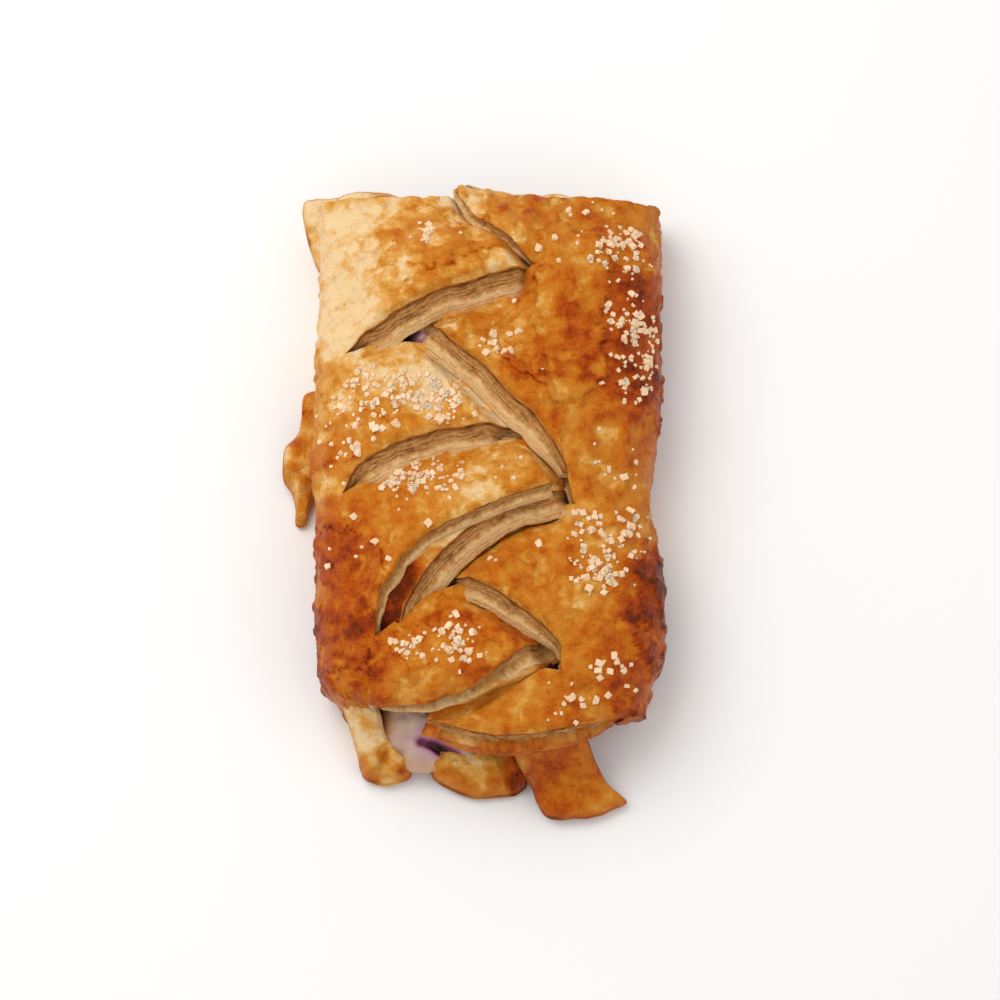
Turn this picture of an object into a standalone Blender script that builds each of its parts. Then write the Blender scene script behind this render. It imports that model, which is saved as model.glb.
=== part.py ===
"""Braided blueberry strudel: a puff-pastry case round a cream and blueberry filling.

The case is one sheet of dough. Its middle is the base and its two sides rise as walls. Both sides are
cut into strips that cross over the top in turn, each tucked under the one behind it, so the loaf's
middle shows a zigzag of raised, layered edges. The filling runs through from end to end.

Lengths are in millimetres here and are turned into metres where the meshes are made. X runs across
the loaf, Y from its front end to its back end, Z up.
"""

import math
import random

import bpy
from mathutils import Matrix, Vector, noise
from mathutils.bvhtree import BVHTree

MM = 0.001

# The loaf: half width on each side, the height where it is widest, its crown and its rounded ends.
LEFT_REACH = 33.6
RIGHT_REACH = 34.3
FRONT_NARROWING = (3.2, 4.6)
WAIST = 1.9
WIDEST_Z = 9.0
CROWN_Z = 24.0
BASE_DEPTH = 12.0
SQUARENESS = 3.2
BACK_Y = 57.5
FRONT_Y = -46.0
END_DROOP = 3.6
END_ROUNDING = 12.0
SWELLING = 0.45

# The open channel under the strips: its walls stop at WALL_TOP_SHARE of the half width, just lower
# than the strips that grow out of them.
WALL = 5.0
BASE_SHEET = 4.4
WALL_TOP_SHARE = 0.74
STRIP_PROUD = 0.6
CHANNEL_STATIONS = 20
CHANNEL_STEPS = 6

# The strips: how far an exposed edge rises and a tucked one sinks, over FREE_RUN from the cut's end,
# and how its cut side spreads and shows its plies.
RISE = 2.8
FREE_RUN = 9.0
ROOT_SETTLE = 0.35
SPLAY = 4.8
ROOT_SPLAY_SHARE = 0.12
STRIP_THICKNESS = 4.6
STRIP_CROWN = 0.9
PLIES = 3
PLY_RELIEF = 0.35
STATIONS = 15
ACROSS_TOP = 6
ACROSS_UNDER = 3

# The filling lies under the lowest tucked edge, clear of the dough by CLEARANCE. It bulges out at both
# ends, at the front through FRONT_GAP, between the curled edge and the lip.
CLEARANCE = 0.35
CEILING_DROP = 9.0
FILLING_FRONT = -49.8
FILLING_BACK = 61.4
FRONT_GAP = (-16.2, -2.0)
END_RUNDOWN = 2.6
FILLING_STATIONS = 18
BERRY_SHARE = 0.6
BERRY_DEPTH = 3.6
BERRY_LUMPS = 0.6

# Coarse sugar: number, width, height as a share of width, depth in the crust and least spacing.
CRYSTALS = 78
CRYSTAL_SIZE = (1.5, 2.3)
CRYSTAL_FLATNESS = 0.75
CRYSTAL_SUNK = 0.25
CRYSTAL_SPACING = 2.6
SUGAR_SEED = 7

# Where the sugar lies thick: a band down the right side and patches on the strips. Each patch has a
# middle, a radius and the share of crystals that stay at its middle.
SUGAR_PATCHES = [
    ((27, 40), 4.4, 1.0), ((29, 22), 5.6, 1.0), ((24, -16), 5.6, 1.0), ((-20, 18), 5.6, 0.8),
    ((-12, 14), 4.4, 0.9), ((-15, 1), 5.0, 0.7), ((-6, -34), 5.6, 0.8), ((-22, 11), 5.0, 0.6),
    ((-14, 48), 2.5, 0.4), ((-24, -14), 6.2, 0.35), ((6, 26), 5.6, 0.3), ((14, -42), 5.0, 0.2),
]

# Moves the loaf's middle line to the middle of its whole footprint.
FOOTPRINT_SHIFT = (2.924, -0.642)

# Where each cut between two strips ends, from the back: on the left side, then on the right.
CUT_LEFT = [(-27.5, 26.5), (-28.0, -1.0), (-21.2, -29.4)]
CUT_RIGHT = [(9.0, 43.8), (16.7, -3.8), (13.8, -36.0)]

# Each strip's two edges in plan, from its root in the wall to its tip. The tucked edge lies at the
# back and the exposed edge in front. free_from numbers the point of each where it comes free.
STRIPS = {
    "left_1": {
        "tucked": [(-31, 57), (-18, 57.5), (-5, 57), (6, 54), (12, 50)],
        "exposed": [(-31, 26.5), CUT_LEFT[0], (-23.7, 30), (-13, 36.6), (-2.5, 40.6), (8, 43.4), (13, 46)],
        "free_from": (None, 1),
    },
    "left_2": {
        "tucked": [(-31, 28), (-27.5, 28), (-20, 29), (-11, 28.5), (-4, 25.5), (5, 20)],
        "exposed": [(-31, -1), CUT_LEFT[1], (-24.6, 4.2), (-17, 8), (-7.3, 10.9), (2.3, 12.1), (8, 12)],
        "free_from": (1, 1),
    },
    "left_3": {
        "tucked": [(-31, 0.5), (-28, 0.5), (-20, 3.5), (-11, 6.6), (0.4, 8.4), (7, 7), (13, 3)],
        "exposed": [(-29.5, -30.5), (-25, -31.2), CUT_LEFT[2], (-21, -24.5), (-19, -19), (-15, -13.3),
                    (-7.3, -7.8), (2.3, -3.3), (11, -0.6), (14, 0)],
        "free_from": (1, 2),
        "splay": 1.8,
        "thickness": 2.9,
    },
    "left_4": {
        "tucked": [(-29.5, -29), (-26, -29), (-20.5, -28), (-15, -24), (-9, -20), (-2, -19), (7, -22.5)],
        "exposed": [(-27.5, -41), (-21, -43.8), (-11.2, -43.2), (-3.5, -40.1), (2.3, -35.6), (9, -30), (12, -28)],
        "free_from": (2, 1),
        "splay": 3.4,
    },
    "right_1": {
        "tucked": [(31, 56.5), (20, 57.5), (8, 58), (-2, 59.5)],
        "exposed": [(31, 44), (20, 44), CUT_RIGHT[0], (2.3, 50.6), (-2.6, 54), (-5.2, 57.5)],
        "free_from": (None, 2),
        "splay": 1.6,
    },
    "right_2": {
        "tucked": [(31, 45.5), (20, 45.5), (9, 45.3), (3, 40.5), (-4, 36.5), (-9.5, 33)],
        "exposed": [(30.5, -3.6), (24, -3.6), CUT_RIGHT[1], (17.7, -2), (16.2, 4.8), (11, 11.7), (4.2, 17.7),
                    (-3.5, 25.4), (-9.8, 29.2)],
        "free_from": (2, 2),
    },
    "right_3": {
        "tucked": [(30.5, -2.1), (24, -2.1), (16.7, -2.3), (11, -3.4), (3.3, -8), (-6, -15)],
        "exposed": [(29.5, -36), (22, -36), CUT_RIGHT[2], (13.5, -30.9), (9, -26.1), (2.3, -21.1), (-6.3, -18.3)],
        "free_from": (2, 2),
        "splay": 3.8,
    },
    "right_4": {
        "tucked": [(29.5, -34.5), (22, -34.5), (13.8, -34.6), (8, -35.5), (1, -38.5), (-10, -43.5)],
        "exposed": [(29, -41.5), (26, -45.6), (10, -49), (-3.5, -50), (-11.5, -47.2)],
        "free_from": (2, None),
        "splay": 1.4,
    },
}

# The lower ply that left_3 has let go of along its exposed edge.
LOOSE_PLY = {
    "tucked": [(-23, -24), (-19, -14), (-9, -4), (2, 1), (10, 3)],
    "exposed": [(-17.5, -28), (-15, -21), (-11.2, -15.2), (-6.3, -10.5), (2.3, -4.2), (10.5, -1)],
    "levels": (-3.2, -0.9),
    "splay": 4.8,
    "thickness": 3.6,
}

# The end of dough that hangs out at the front: (y, height of its top) at its root and near its tip.
TAIL = {
    "tucked": [(4, -44.5), (5.5, -49), (8.5, -53), (9.5, -57), (12, -61)],
    "exposed": [(18, -43.5), (18.5, -48), (21, -53), (26, -58)],
    "levels": (0, 0),
    "splay": 0.6,
    "thickness": 4.0,
}
TAIL_ROOT = (-44.0, 17.4)
TAIL_TIP = (-58.0, 4.6)
TAIL_WAVE = 0.3

# Edges of the base sheet that show past the walls: outline in plan, lowest and highest level. A foot
# at level 0 stays flat. The others are rounded above and below.
BASE_EDGES = {
    "front_sheet": ([(-27, -43), (-27, -47), (-24, -51.2), (-16.5, -51.8), (-15.2, -49.3), (-9.2, -49.3),
                     (-8, -53), (0, -55.4), (6.2, -54.6), (8, -50), (26, -45.4), (27, -43)], 0.0, 4.1),
    "left_curl": ([(-28.5, -41.5), (-26.5, -47), (-24.3, -52), (-18.5, -52.8), (-17.2, -50), (-19.5, -46.5),
                   (-23.5, -41.5)], 1.0, 9.0),
    "centre_lip": ([(-8.8, -51.2), (-7.5, -54.2), (0, -56.4), (6, -55.6), (7.5, -52.5), (5, -50.4),
                    (-2, -50)], 1.0, 6.6),
    "side_flap": ([(-31, 20), (-36, 21), (-39.4, 13), (-40.4, 9.5), (-40, 5.5), (-38, 3), (-37.8, -2),
                   (-35.3, -1.7), (-35.2, 2.8), (-31, 5)], 4.6, 8.2),
    "back_wing": ([(-29, 59.5), (-35.4, 60), (-35.2, 55), (-33.6, 50), (-29, 47)], 8.0, 14.0),
    "back_fold": ([(-29.5, 56), (-28.5, 60.8), (-26, 62.2), (-20.5, 62), (-17.5, 60), (-17.5, 56)], 12.8, 18.0),
}
FLAT_FOOT_LEVELS = [(1.0, 0.0), (1.0, 0.75), (0.88, 1.0)]
ROUNDED_LEVELS = [(0.86, 0.0), (1.0, 0.35), (1.0, 0.7), (0.84, 1.0)]


def smooth(t):
    """A step that rises softly from 0 to 1 as t does."""
    t = min(1.0, max(0.0, t))
    return t * t * (3 - 2 * t)


def mix(a, b, t):
    return a + (b - a) * t


def reach(x, y):
    """Half width of the loaf at y, on the side that x lies on. It narrows towards the front, and the
    right side has a waist."""
    if x < 0:
        return LEFT_REACH - FRONT_NARROWING[0] * smooth((-18 - y) / 26) + SWELLING * math.sin(y / 9)
    waist = WAIST * math.exp(-((y - 1) / 11) ** 2)
    return RIGHT_REACH - waist - FRONT_NARROWING[1] * smooth((-26 - y) / 20)


def end_droop(y):
    """How much lower the crown is at y: the crust runs down towards both ends."""
    from_back, from_front = BACK_Y - y, y - FRONT_Y
    return END_DROOP * (smooth(1 - from_back / END_ROUNDING) + smooth(1 - from_front / END_ROUNDING))


def crust_height(x, y):
    """Height of the loaf's outer skin over (x, y), before any strip rises or sinks."""
    side = min(1.0, abs(x) / reach(x, y))
    return WIDEST_Z + (CROWN_Z - WIDEST_Z - end_droop(y)) * (1 - side ** SQUARENESS) ** (1 / SQUARENESS)


def unevenness(x, y, scale=9.0, amount=SWELLING):
    """Soft swellings of the baked dough."""
    return amount * noise.noise(Vector((x / scale, y / scale, 3.7)))


def edge_line(points, free_from, stations):
    """Evenly spaced (x, y, freedom) along a smooth line through the points. Freedom is 0 up to the
    point numbered free_from and grows to 1 beyond it, or stays 0 where free_from is None."""
    knots = [Vector(p) for p in points]
    padded = [2 * knots[0] - knots[1], *knots, 2 * knots[-1] - knots[-2]]
    steps = 12
    dense = []
    for i in range(len(knots) - 1):
        a, b, c, d = padded[i:i + 4]
        for k in range(steps):
            t = k / steps
            dense.append(0.5 * (2 * b + (c - a) * t + (2 * a - 5 * b + 4 * c - d) * t * t
                                + (3 * b - a - 3 * c + d) * t ** 3))
    dense.append(knots[-1])
    lengths = [0.0]
    for p, q in zip(dense, dense[1:]):
        lengths.append(lengths[-1] + (q - p).length)
    line, at = [], 0
    for k in range(stations):
        s = lengths[-1] * k / (stations - 1)
        while at < len(dense) - 2 and lengths[at + 1] < s:
            at += 1
        point = dense[at].lerp(dense[at + 1], (s - lengths[at]) / (lengths[at + 1] - lengths[at]))
        freedom = 0.0 if free_from is None else smooth((s - lengths[free_from * steps]) / FREE_RUN)
        line.append((point.x, point.y, freedom))
    return line


def outward(line, k, across):
    """Plan direction in which a strip's cut side faces at station k of its exposed edge."""
    behind, ahead = line[max(k - 1, 0)], line[min(k + 1, len(line) - 1)]
    along = Vector((ahead[0] - behind[0], ahead[1] - behind[1]))
    out = Vector((along.y, -along.x)).normalized()
    if out.dot(across) < 0:
        out = -out
    return out.lerp(across.normalized(), 0.45).normalized()


def strip_rings(tucked, exposed, free_from=(None, None), levels=(-RISE, RISE), splay=SPLAY,
                thickness=STRIP_THICKNESS, height=crust_height, always_free=False):
    """Cross-sections of a strip from root to tip: top skin, cut side, underside, tucked side."""
    back_line = edge_line(tucked, free_from[0], STATIONS)
    front_line = edge_line(exposed, free_from[1], STATIONS)
    rings = []
    for k, ((bx, by, back_free), (fx, fy, front_free)) in enumerate(zip(back_line, front_line)):
        if always_free:
            back_free = front_free = 1.0
        across = Vector((fx - bx, fy - by))
        out = outward(front_line, k, across)
        spread = min(splay, 0.8 * across.length) * max(front_free, ROOT_SPLAY_SHARE)
        sink = levels[0] * back_free - ROOT_SETTLE * (1 - back_free)
        rise = levels[1] * front_free
        crown = STRIP_CROWN * min(back_free + front_free, 1.0)

        def skin(v):
            x, y = mix(bx, fx, v), mix(by, fy, v)
            lift = mix(sink, rise, v) + crown * math.sin(math.pi * v)
            return Vector((x, y, height(x, y) + lift + unevenness(x, y)))

        ring = [skin(v / ACROSS_TOP) for v in range(ACROSS_TOP + 1)]
        crest = ring[-1]
        rows = 2 * PLIES
        for row in range(1, rows + 1):
            down = row / rows
            stand = spread * down + PLY_RELIEF * math.cos(2 * math.pi * PLIES * down) * front_free
            ring.append(Vector((crest.x + out.x * stand, crest.y + out.y * stand,
                                crest.z - thickness * down ** 0.8)))
        foot = ring[-1]
        heel = skin(0) - Vector((0, 0, thickness))
        for step in range(1, ACROSS_UNDER + 1):
            v = step / (ACROSS_UNDER + 1)
            level = mix(skin(1 - v).z - thickness, mix(foot.z, heel.z, v), 0.4)
            ring.append(Vector((mix(foot.x, heel.x, v), mix(foot.y, heel.y, v), level)))
        ring.append(heel)
        rings.append(ring)
    return rings


def mesh_from(name, points, faces):
    """An object with this mesh, moved to the middle of the footprint and turned into metres."""
    mesh = bpy.data.meshes.new(name)
    shift = Vector((*FOOTPRINT_SHIFT, 0))
    mesh.from_pydata([(p + shift) * MM for p in points], [], faces)
    made = bpy.data.objects.new(name, mesh)
    bpy.context.scene.collection.objects.link(made)
    return made


def signed_volume(mesh):
    mesh.calc_loop_triangles()
    points = mesh.vertices
    return sum(points[t.vertices[0]].co.dot(points[t.vertices[1]].co.cross(points[t.vertices[2]].co))
               for t in mesh.loop_triangles) / 6


def loft(name, rings):
    """A closed solid through rings of equal length, with one face over each end."""
    count = len(rings[0])
    points = [p for ring in rings for p in ring]
    faces = []
    for r in range(len(rings) - 1):
        for k in range(count):
            a, b = r * count + k, r * count + (k + 1) % count
            faces += [(a, b, b + count), (a, b + count, a + count)]
    faces.append(tuple(reversed(range(count))))
    faces.append(tuple(range(len(points) - count, len(points))))
    made = mesh_from(name, points, faces)
    if signed_volume(made.data) < 0:
        made.data.flip_normals()
    return made


def wall_profile(side, y, inset, floor_z, steps, bulge):
    """Outline of one wall at y, inset from the loaf's skin, from its top edge round to the floor."""
    a = reach(side, y) - inset
    top = CROWN_Z - STRIP_PROUD - WIDEST_Z - end_droop(y) - inset
    bottom = BASE_DEPTH - inset
    start = math.acos((WALL_TOP_SHARE * reach(side, y) / a) ** (SQUARENESS / 2))
    end = math.asin(((WIDEST_Z - floor_z) / bottom) ** (SQUARENESS / 2))
    line = []
    for k in range(2 * steps + 1):
        turn = mix(start, 0, k / steps) if k <= steps else -mix(0, end, k / steps - 1)
        x = a * math.cos(turn) ** (2 / SQUARENESS)
        z = abs(math.sin(turn)) ** (2 / SQUARENESS)
        z = WIDEST_Z + (top * z if turn > 0 else -bottom * z)
        if 0 < k < 2 * steps:
            x += unevenness(z * 1.3 + 40 * side, y, 7.0, bulge)
        line.append(Vector((side * x, y, z)))
    line[-1].z = floor_z
    return line


def channel():
    """The base sheet and both walls, up to where the strips are cut: an open channel."""
    rings = []
    for k in range(CHANNEL_STATIONS):
        y = mix(FRONT_Y, BACK_Y, k / (CHANNEL_STATIONS - 1))
        outer = [wall_profile(side, y, 0.0, 0.0, CHANNEL_STEPS, SWELLING) for side in (-1, 1)]
        inner = [wall_profile(side, y, WALL, BASE_SHEET, CHANNEL_STEPS - 1, 0.0) for side in (-1, 1)]
        rings.append(outer[0] + outer[1][::-1] + inner[1] + inner[0][::-1])
    return loft("channel", rings)


def base_edge(name, outline, low, high):
    """A rounded slab over an outline in plan, for an edge of dough that shows past the walls."""
    line = [Vector((x, y)) for x, y, _ in edge_line([*outline, outline[0]], None, 2 * len(outline) + 1)[:-1]]
    middle = sum(line, Vector((0, 0))) / len(line)
    rings = []
    for share, level in ROUNDED_LEVELS if low > 0 else FLAT_FOOT_LEVELS:
        z = mix(low, high, level)
        ring = []
        for point in line:
            x, y = middle.lerp(point, share)
            ring.append(Vector((x, y, z + (unevenness(x, y, 5.0, 0.3) if z > 0 else 0))))
        rings.append(ring)
    return loft(name, rings)


def tail_height(x, y):
    """Height of the hanging end's top: it runs down to its tip in a soft wave."""
    share = (TAIL_ROOT[0] - y) / (TAIL_ROOT[0] - TAIL_TIP[0])
    middle_x = 14
    return (mix(TAIL_ROOT[1], TAIL_TIP[1], smooth(share * 0.75 + 0.12))
            + 0.05 * (x - middle_x) + TAIL_WAVE * math.sin(y))


def sugar_density(x, y):
    """Share of crystals that stay at (x, y)."""
    return max(share * math.exp(-((x - px) ** 2 + (y - py) ** 2) / (2 * radius ** 2))
               for (px, py), radius, share in SUGAR_PATCHES)


def skin_of(pieces):
    """One search tree over all the pieces' faces."""
    points, faces = [], []
    for piece in pieces:
        start = len(points)
        points += [v.co for v in piece.data.vertices]
        faces += [tuple(start + i for i in f.vertices) for f in piece.data.polygons]
    return BVHTree.FromPolygons(points, faces)


def sugar_crystals(pieces):
    """Coarse crystals, turned at random and sunk in the skin below them, on its level parts."""
    draw = random.Random(SUGAR_SEED)
    skin = skin_of(pieces)
    shift = Vector((*FOOTPRINT_SHIFT, 0))
    lowest_z, levelness = 12 * MM, 0.8
    placed, made = [], []
    while len(made) < CRYSTALS:
        x, y = draw.uniform(-LEFT_REACH, RIGHT_REACH), draw.uniform(FRONT_Y, BACK_Y)
        kept = draw.random() < sugar_density(x, y)
        size = draw.uniform(*CRYSTAL_SIZE)
        turn = Matrix.Rotation(draw.uniform(0, math.tau), 4, (draw.gauss(0, 0.4), draw.gauss(0, 0.4), 1))
        if not kept or any(math.dist((x, y), other) < CRYSTAL_SPACING for other in placed):
            continue
        over = (Vector((x, y, 2 * CROWN_Z)) + shift) * MM
        hit, normal, _, _ = skin.ray_cast(over, Vector((0, 0, -1)))
        if hit is None or normal.z < levelness or hit.z < lowest_z:
            continue
        placed.append((x, y))
        seat = hit / MM - shift + normal * (size / 2 * CRYSTAL_FLATNESS - CRYSTAL_SUNK)
        corners = [seat + turn @ Vector((i, j, CRYSTAL_FLATNESS * k)) * (size / 2)
                   for k in (-1, 1) for i, j in ((-1, -1), (1, -1), (1, 1), (-1, 1))]
        made.append(loft(f"crystal_{len(made)}", [corners[:4], corners[4:]]))
    return made


def baked_together(name, first, others):
    """One Boolean union of the pieces."""
    group = bpy.data.collections.new("pieces")
    for piece in others:
        group.objects.link(piece)
    union = first.modifiers.new("union", "BOOLEAN")
    union.operation = "UNION"
    union.operand_type = "COLLECTION"
    union.collection = group
    union.solver = "MANIFOLD"
    mesh = bpy.data.meshes.new_from_object(first.evaluated_get(bpy.context.evaluated_depsgraph_get()))
    for piece in [first, *others]:
        bpy.data.objects.remove(piece)
    bpy.data.collections.remove(group)
    made = bpy.data.objects.new(name, mesh)
    bpy.context.scene.collection.objects.link(made)
    return made


def keep_largest_shell(piece):
    """Fills sealed hollows and drops loose scraps, which are the mesh's smaller shells."""
    mesh = piece.data
    parent = list(range(len(mesh.vertices)))

    def root(i):
        while parent[i] != i:
            parent[i] = parent[parent[i]]
            i = parent[i]
        return i

    for edge in mesh.edges:
        parent[root(edge.vertices[0])] = root(edge.vertices[1])
    shells = {}
    for i in range(len(mesh.vertices)):
        shells.setdefault(root(i), []).append(i)
    kept = max(shells.values(), key=len)
    number = {old: new for new, old in enumerate(kept)}
    faces = [tuple(number[i] for i in f.vertices) for f in mesh.polygons if f.vertices[0] in number]
    whole = bpy.data.meshes.new(mesh.name)
    whole.from_pydata([mesh.vertices[i].co for i in kept], [], faces)
    piece.data = whole
    bpy.data.meshes.remove(mesh)
    return piece


def filling_span(y):
    """Left and right limits of the filling at y: the case's inside, and at the front the gap that the
    filling bulges out of."""
    inside = WALL + CLEARANCE + 0.2
    left, right = inside - reach(-1, y), reach(1, y) - inside
    drawn_in = 3.0 * smooth((y - BACK_Y) / 3)
    return (mix(left, FRONT_GAP[0], smooth((-35 - y) / 6)) + drawn_in,
            mix(right, FRONT_GAP[1], smooth((-43 - y) / 5)) - drawn_in)


def filling_top(x, y):
    """Top of the filling: it follows the strips' undersides and runs down at both ends."""
    rundown = END_RUNDOWN * (smooth((-44 - y) / 6) + smooth((y - 54) / 7))
    return crust_height(x, y) - CEILING_DROP - rundown


def berry_depth(y):
    """Depth of the berries' trough at y: less at the ends, where the filling is shallow."""
    return min(BERRY_DEPTH, 0.5 * (filling_top(0, y) - BASE_SHEET))


def filling_stations():
    return [mix(FILLING_FRONT, FILLING_BACK, k / (FILLING_STATIONS - 1)) for k in range(FILLING_STATIONS)]


def cream():
    """The cream: it fills the case's inside up to a trough along its top, where the berries lie."""
    floor = BASE_SHEET + CLEARANCE
    foot_share, shoulder_share, trough_slope = 0.87, 0.92, 0.3
    rings = []
    for y in filling_stations():
        left, right = filling_span(y)
        middle, half = (left + right) / 2, (right - left) / 2
        trough, depth, shoulder = BERRY_SHARE * half, berry_depth(y), shoulder_share * half
        ring = [Vector((middle + s * half * foot_share, y, floor)) for s in (-1, 0, 1)]
        ring.append(Vector((right, y, mix(floor, filling_top(right * shoulder_share, y), 0.55))))
        for x, drop in ((shoulder, 0), (trough, 0), (trough - trough_slope, depth), (0, depth),
                        (trough_slope - trough, depth), (-trough, 0), (-shoulder, 0)):
            ring.append(Vector((middle + x, y, filling_top(middle + x, y) - drop)))
        ring.append(Vector((left, y, mix(floor, filling_top(left * shoulder_share, y), 0.55))))
        rings.append(ring)
    return loft("cream_filling", rings)


def berries():
    """The blueberry layer in the cream's trough, lumpy on top where berries push up."""
    rings = []
    for y in filling_stations():
        left, right = filling_span(y)
        middle, half = (left + right) / 2, (right - left) / 2 * BERRY_SHARE - 2 * CLEARANCE
        ring = []
        for k in range(9):
            x = middle + half * (k / 4 - 1)
            lumps = BERRY_LUMPS * abs(noise.noise(Vector((x / 4, y / 4, 1.3))))
            ring.append(Vector((x, y, filling_top(x, y) - 0.2 - lumps)))
        for k in range(5):
            x = middle + half * (1 - k / 2)
            ring.append(Vector((x, y, filling_top(x, y) - berry_depth(y) + CLEARANCE + 0.05)))
        rings.append(ring)
    return loft("blueberry_filling", rings)


def finish(name, piece, colour, roughness):
    """Names the piece and its mesh, gives it its material and shades it smooth but for its edges."""
    piece.name = piece.data.name = name
    material = bpy.data.materials.new(name)
    material.use_nodes = True
    surface = material.node_tree.nodes["Principled BSDF"]
    surface.inputs["Base Color"].default_value = (*colour, 1)
    surface.inputs["Roughness"].default_value = roughness
    surface.inputs["Metallic"].default_value = 0
    piece.data.materials.append(material)
    piece.data.shade_smooth()
    piece.data.set_sharp_from_angle(angle=math.radians(35))


def clear_scene():
    for obj in list(bpy.data.objects):
        bpy.data.objects.remove(obj)


def main():
    clear_scene()
    case = channel()
    dough = [loft(name, strip_rings(**edges)) for name, edges in STRIPS.items()]
    dough.append(loft("loose_ply", strip_rings(**LOOSE_PLY, always_free=True)))
    dough.append(loft("tail", strip_rings(**TAIL, height=tail_height, always_free=True)))
    dough += [base_edge(name, *edge) for name, edge in BASE_EDGES.items()]
    sugar = sugar_crystals([case, *dough])
    pastry = keep_largest_shell(baked_together("pastry", case, dough + sugar))
    finish("pastry", pastry, (0.62, 0.27, 0.06), 0.42)
    finish("cream_filling", cream(), (0.72, 0.55, 0.56), 0.45)
    finish("blueberry_filling", berries(), (0.12, 0.02, 0.07), 0.25)


main()
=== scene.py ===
"""Looks of a braided blueberry strudel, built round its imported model.

The pastry is one sheet of puff dough. Its sides rise as walls and are cut into strips, four from the
left and four from the right, that cross over the filling. Every cut edge shows the dough's thin plies.

Sizes are in millimetres in the loaf's own frame, whose middle line is x = 0, with y from the front end
to the back and z up. placed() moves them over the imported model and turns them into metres.
"""

import math
import random

import bmesh
import bpy
import numpy as np
from mathutils import Euler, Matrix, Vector
from mathutils.bvhtree import BVHTree


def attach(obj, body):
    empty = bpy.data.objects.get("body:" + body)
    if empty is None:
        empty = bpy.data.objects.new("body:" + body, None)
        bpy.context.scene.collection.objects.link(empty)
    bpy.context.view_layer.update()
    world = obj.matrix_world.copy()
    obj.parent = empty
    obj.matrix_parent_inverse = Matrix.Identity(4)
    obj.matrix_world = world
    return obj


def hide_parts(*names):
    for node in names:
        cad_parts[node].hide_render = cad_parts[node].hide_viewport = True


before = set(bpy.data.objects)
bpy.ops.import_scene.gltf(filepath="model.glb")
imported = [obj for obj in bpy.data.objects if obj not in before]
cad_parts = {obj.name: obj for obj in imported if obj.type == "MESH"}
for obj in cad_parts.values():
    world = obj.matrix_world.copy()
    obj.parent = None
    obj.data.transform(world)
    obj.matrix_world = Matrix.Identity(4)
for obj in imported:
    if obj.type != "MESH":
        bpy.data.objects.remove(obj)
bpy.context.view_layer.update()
scene = bpy.context.scene
bpy.ops.object.select_all(action="DESELECT")


# Camera: it looks down on the loaf's front from 75 degrees up, as the photograph does, from far enough
# that the sides hardly spread. PHOTO_SCALE is the photograph's pixels to the millimetre at the crust,
# and PHOTO_MIDDLE_X is the pixel column of the loaf's middle line.
PHOTO_SCALE = 5.2
PHOTO_SIZE = 1000
PHOTO_MIDDLE_X = 488
CAMERA_HEIGHT_ANGLE = math.radians(75)
CAMERA_DISTANCE = 700
SENSOR_WIDTH = 36
LOOK_AT_Z = 12

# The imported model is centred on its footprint, and its middle line lies beside that by this much.
FOOTPRINT_SHIFT = Vector((2.924, -0.642, 0))
MM = 0.001


def placed(point):
    """A point of the loaf's own frame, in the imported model's metres."""
    return (Vector(point) + FOOTPRINT_SHIFT) * MM


look_at = Vector(((PHOTO_SIZE / 2 - PHOTO_MIDDLE_X) / PHOTO_SCALE, 0, LOOK_AT_Z))
away = Vector((0, -math.cos(CAMERA_HEIGHT_ANGLE), math.sin(CAMERA_HEIGHT_ANGLE)))
bpy.ops.object.camera_add(location=placed(look_at + away * CAMERA_DISTANCE),
                          rotation=(math.pi / 2 - CAMERA_HEIGHT_ANGLE, 0, 0))
camera = bpy.context.object
camera.name = "camera"
camera.data.sensor_width = SENSOR_WIDTH
camera.data.lens = CAMERA_DISTANCE * SENSOR_WIDTH / (PHOTO_SIZE / PHOTO_SCALE)
camera.data.clip_start = 0.01
scene.camera = camera
scene.view_settings.view_transform = "Standard"


# Light: one big soft lamp from the upper left, as the photograph's shadow tells, and a weak one from the
# right that fills the shaded sides, in a bright white room.
LIT_POINT = (0, 0, 10)
ROOM_COLOUR = (1, 0.99, 0.98, 1)
ROOM_STRENGTH = 0.7


def soft_lamp(name, place, size, watts, colour):
    """A square lamp that faces the loaf, its place and size in millimetres."""
    bpy.ops.object.light_add(type="AREA", location=placed(place))
    lamp = bpy.context.object
    lamp.name = name
    lamp.data.size = size * MM
    lamp.data.energy = watts
    lamp.data.color = colour
    lamp.rotation_euler = (placed(LIT_POINT) - lamp.location).to_track_quat("-Z", "Y").to_euler()


soft_lamp("window", (-250, 200, 500), size=460, watts=2.0, colour=(1.0, 0.985, 0.96))
soft_lamp("reflector", (420, -260, 380), size=420, watts=0.3, colour=(1.0, 0.98, 0.95))
room = bpy.data.worlds.new("room")
room.use_nodes = True
glow = room.node_tree.nodes["Background"]
glow.inputs["Color"].default_value = ROOM_COLOUR
glow.inputs["Strength"].default_value = ROOM_STRENGTH
scene.world = room


# Table: the plain white surface that the strudel lies on. It is no part of the object, and lies a hair
# below the base, so that the two don't share a plane.
TABLE_SIZE = 6
TABLE_DROP = 0.0002
TABLE_COLOUR = (0.9, 0.9, 0.9, 1)
TABLE_ROUGHNESS = 0.7

bpy.ops.mesh.primitive_plane_add(size=TABLE_SIZE, location=(0, 0, -TABLE_DROP))
table = bpy.context.object
table.name = "table"
white = bpy.data.materials.new("white_table")
white.use_nodes = True
white.node_tree.nodes["Principled BSDF"].inputs["Base Color"].default_value = TABLE_COLOUR
white.node_tree.nodes["Principled BSDF"].inputs["Roughness"].default_value = TABLE_ROUGHNESS
table.data.materials.append(white)


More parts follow.
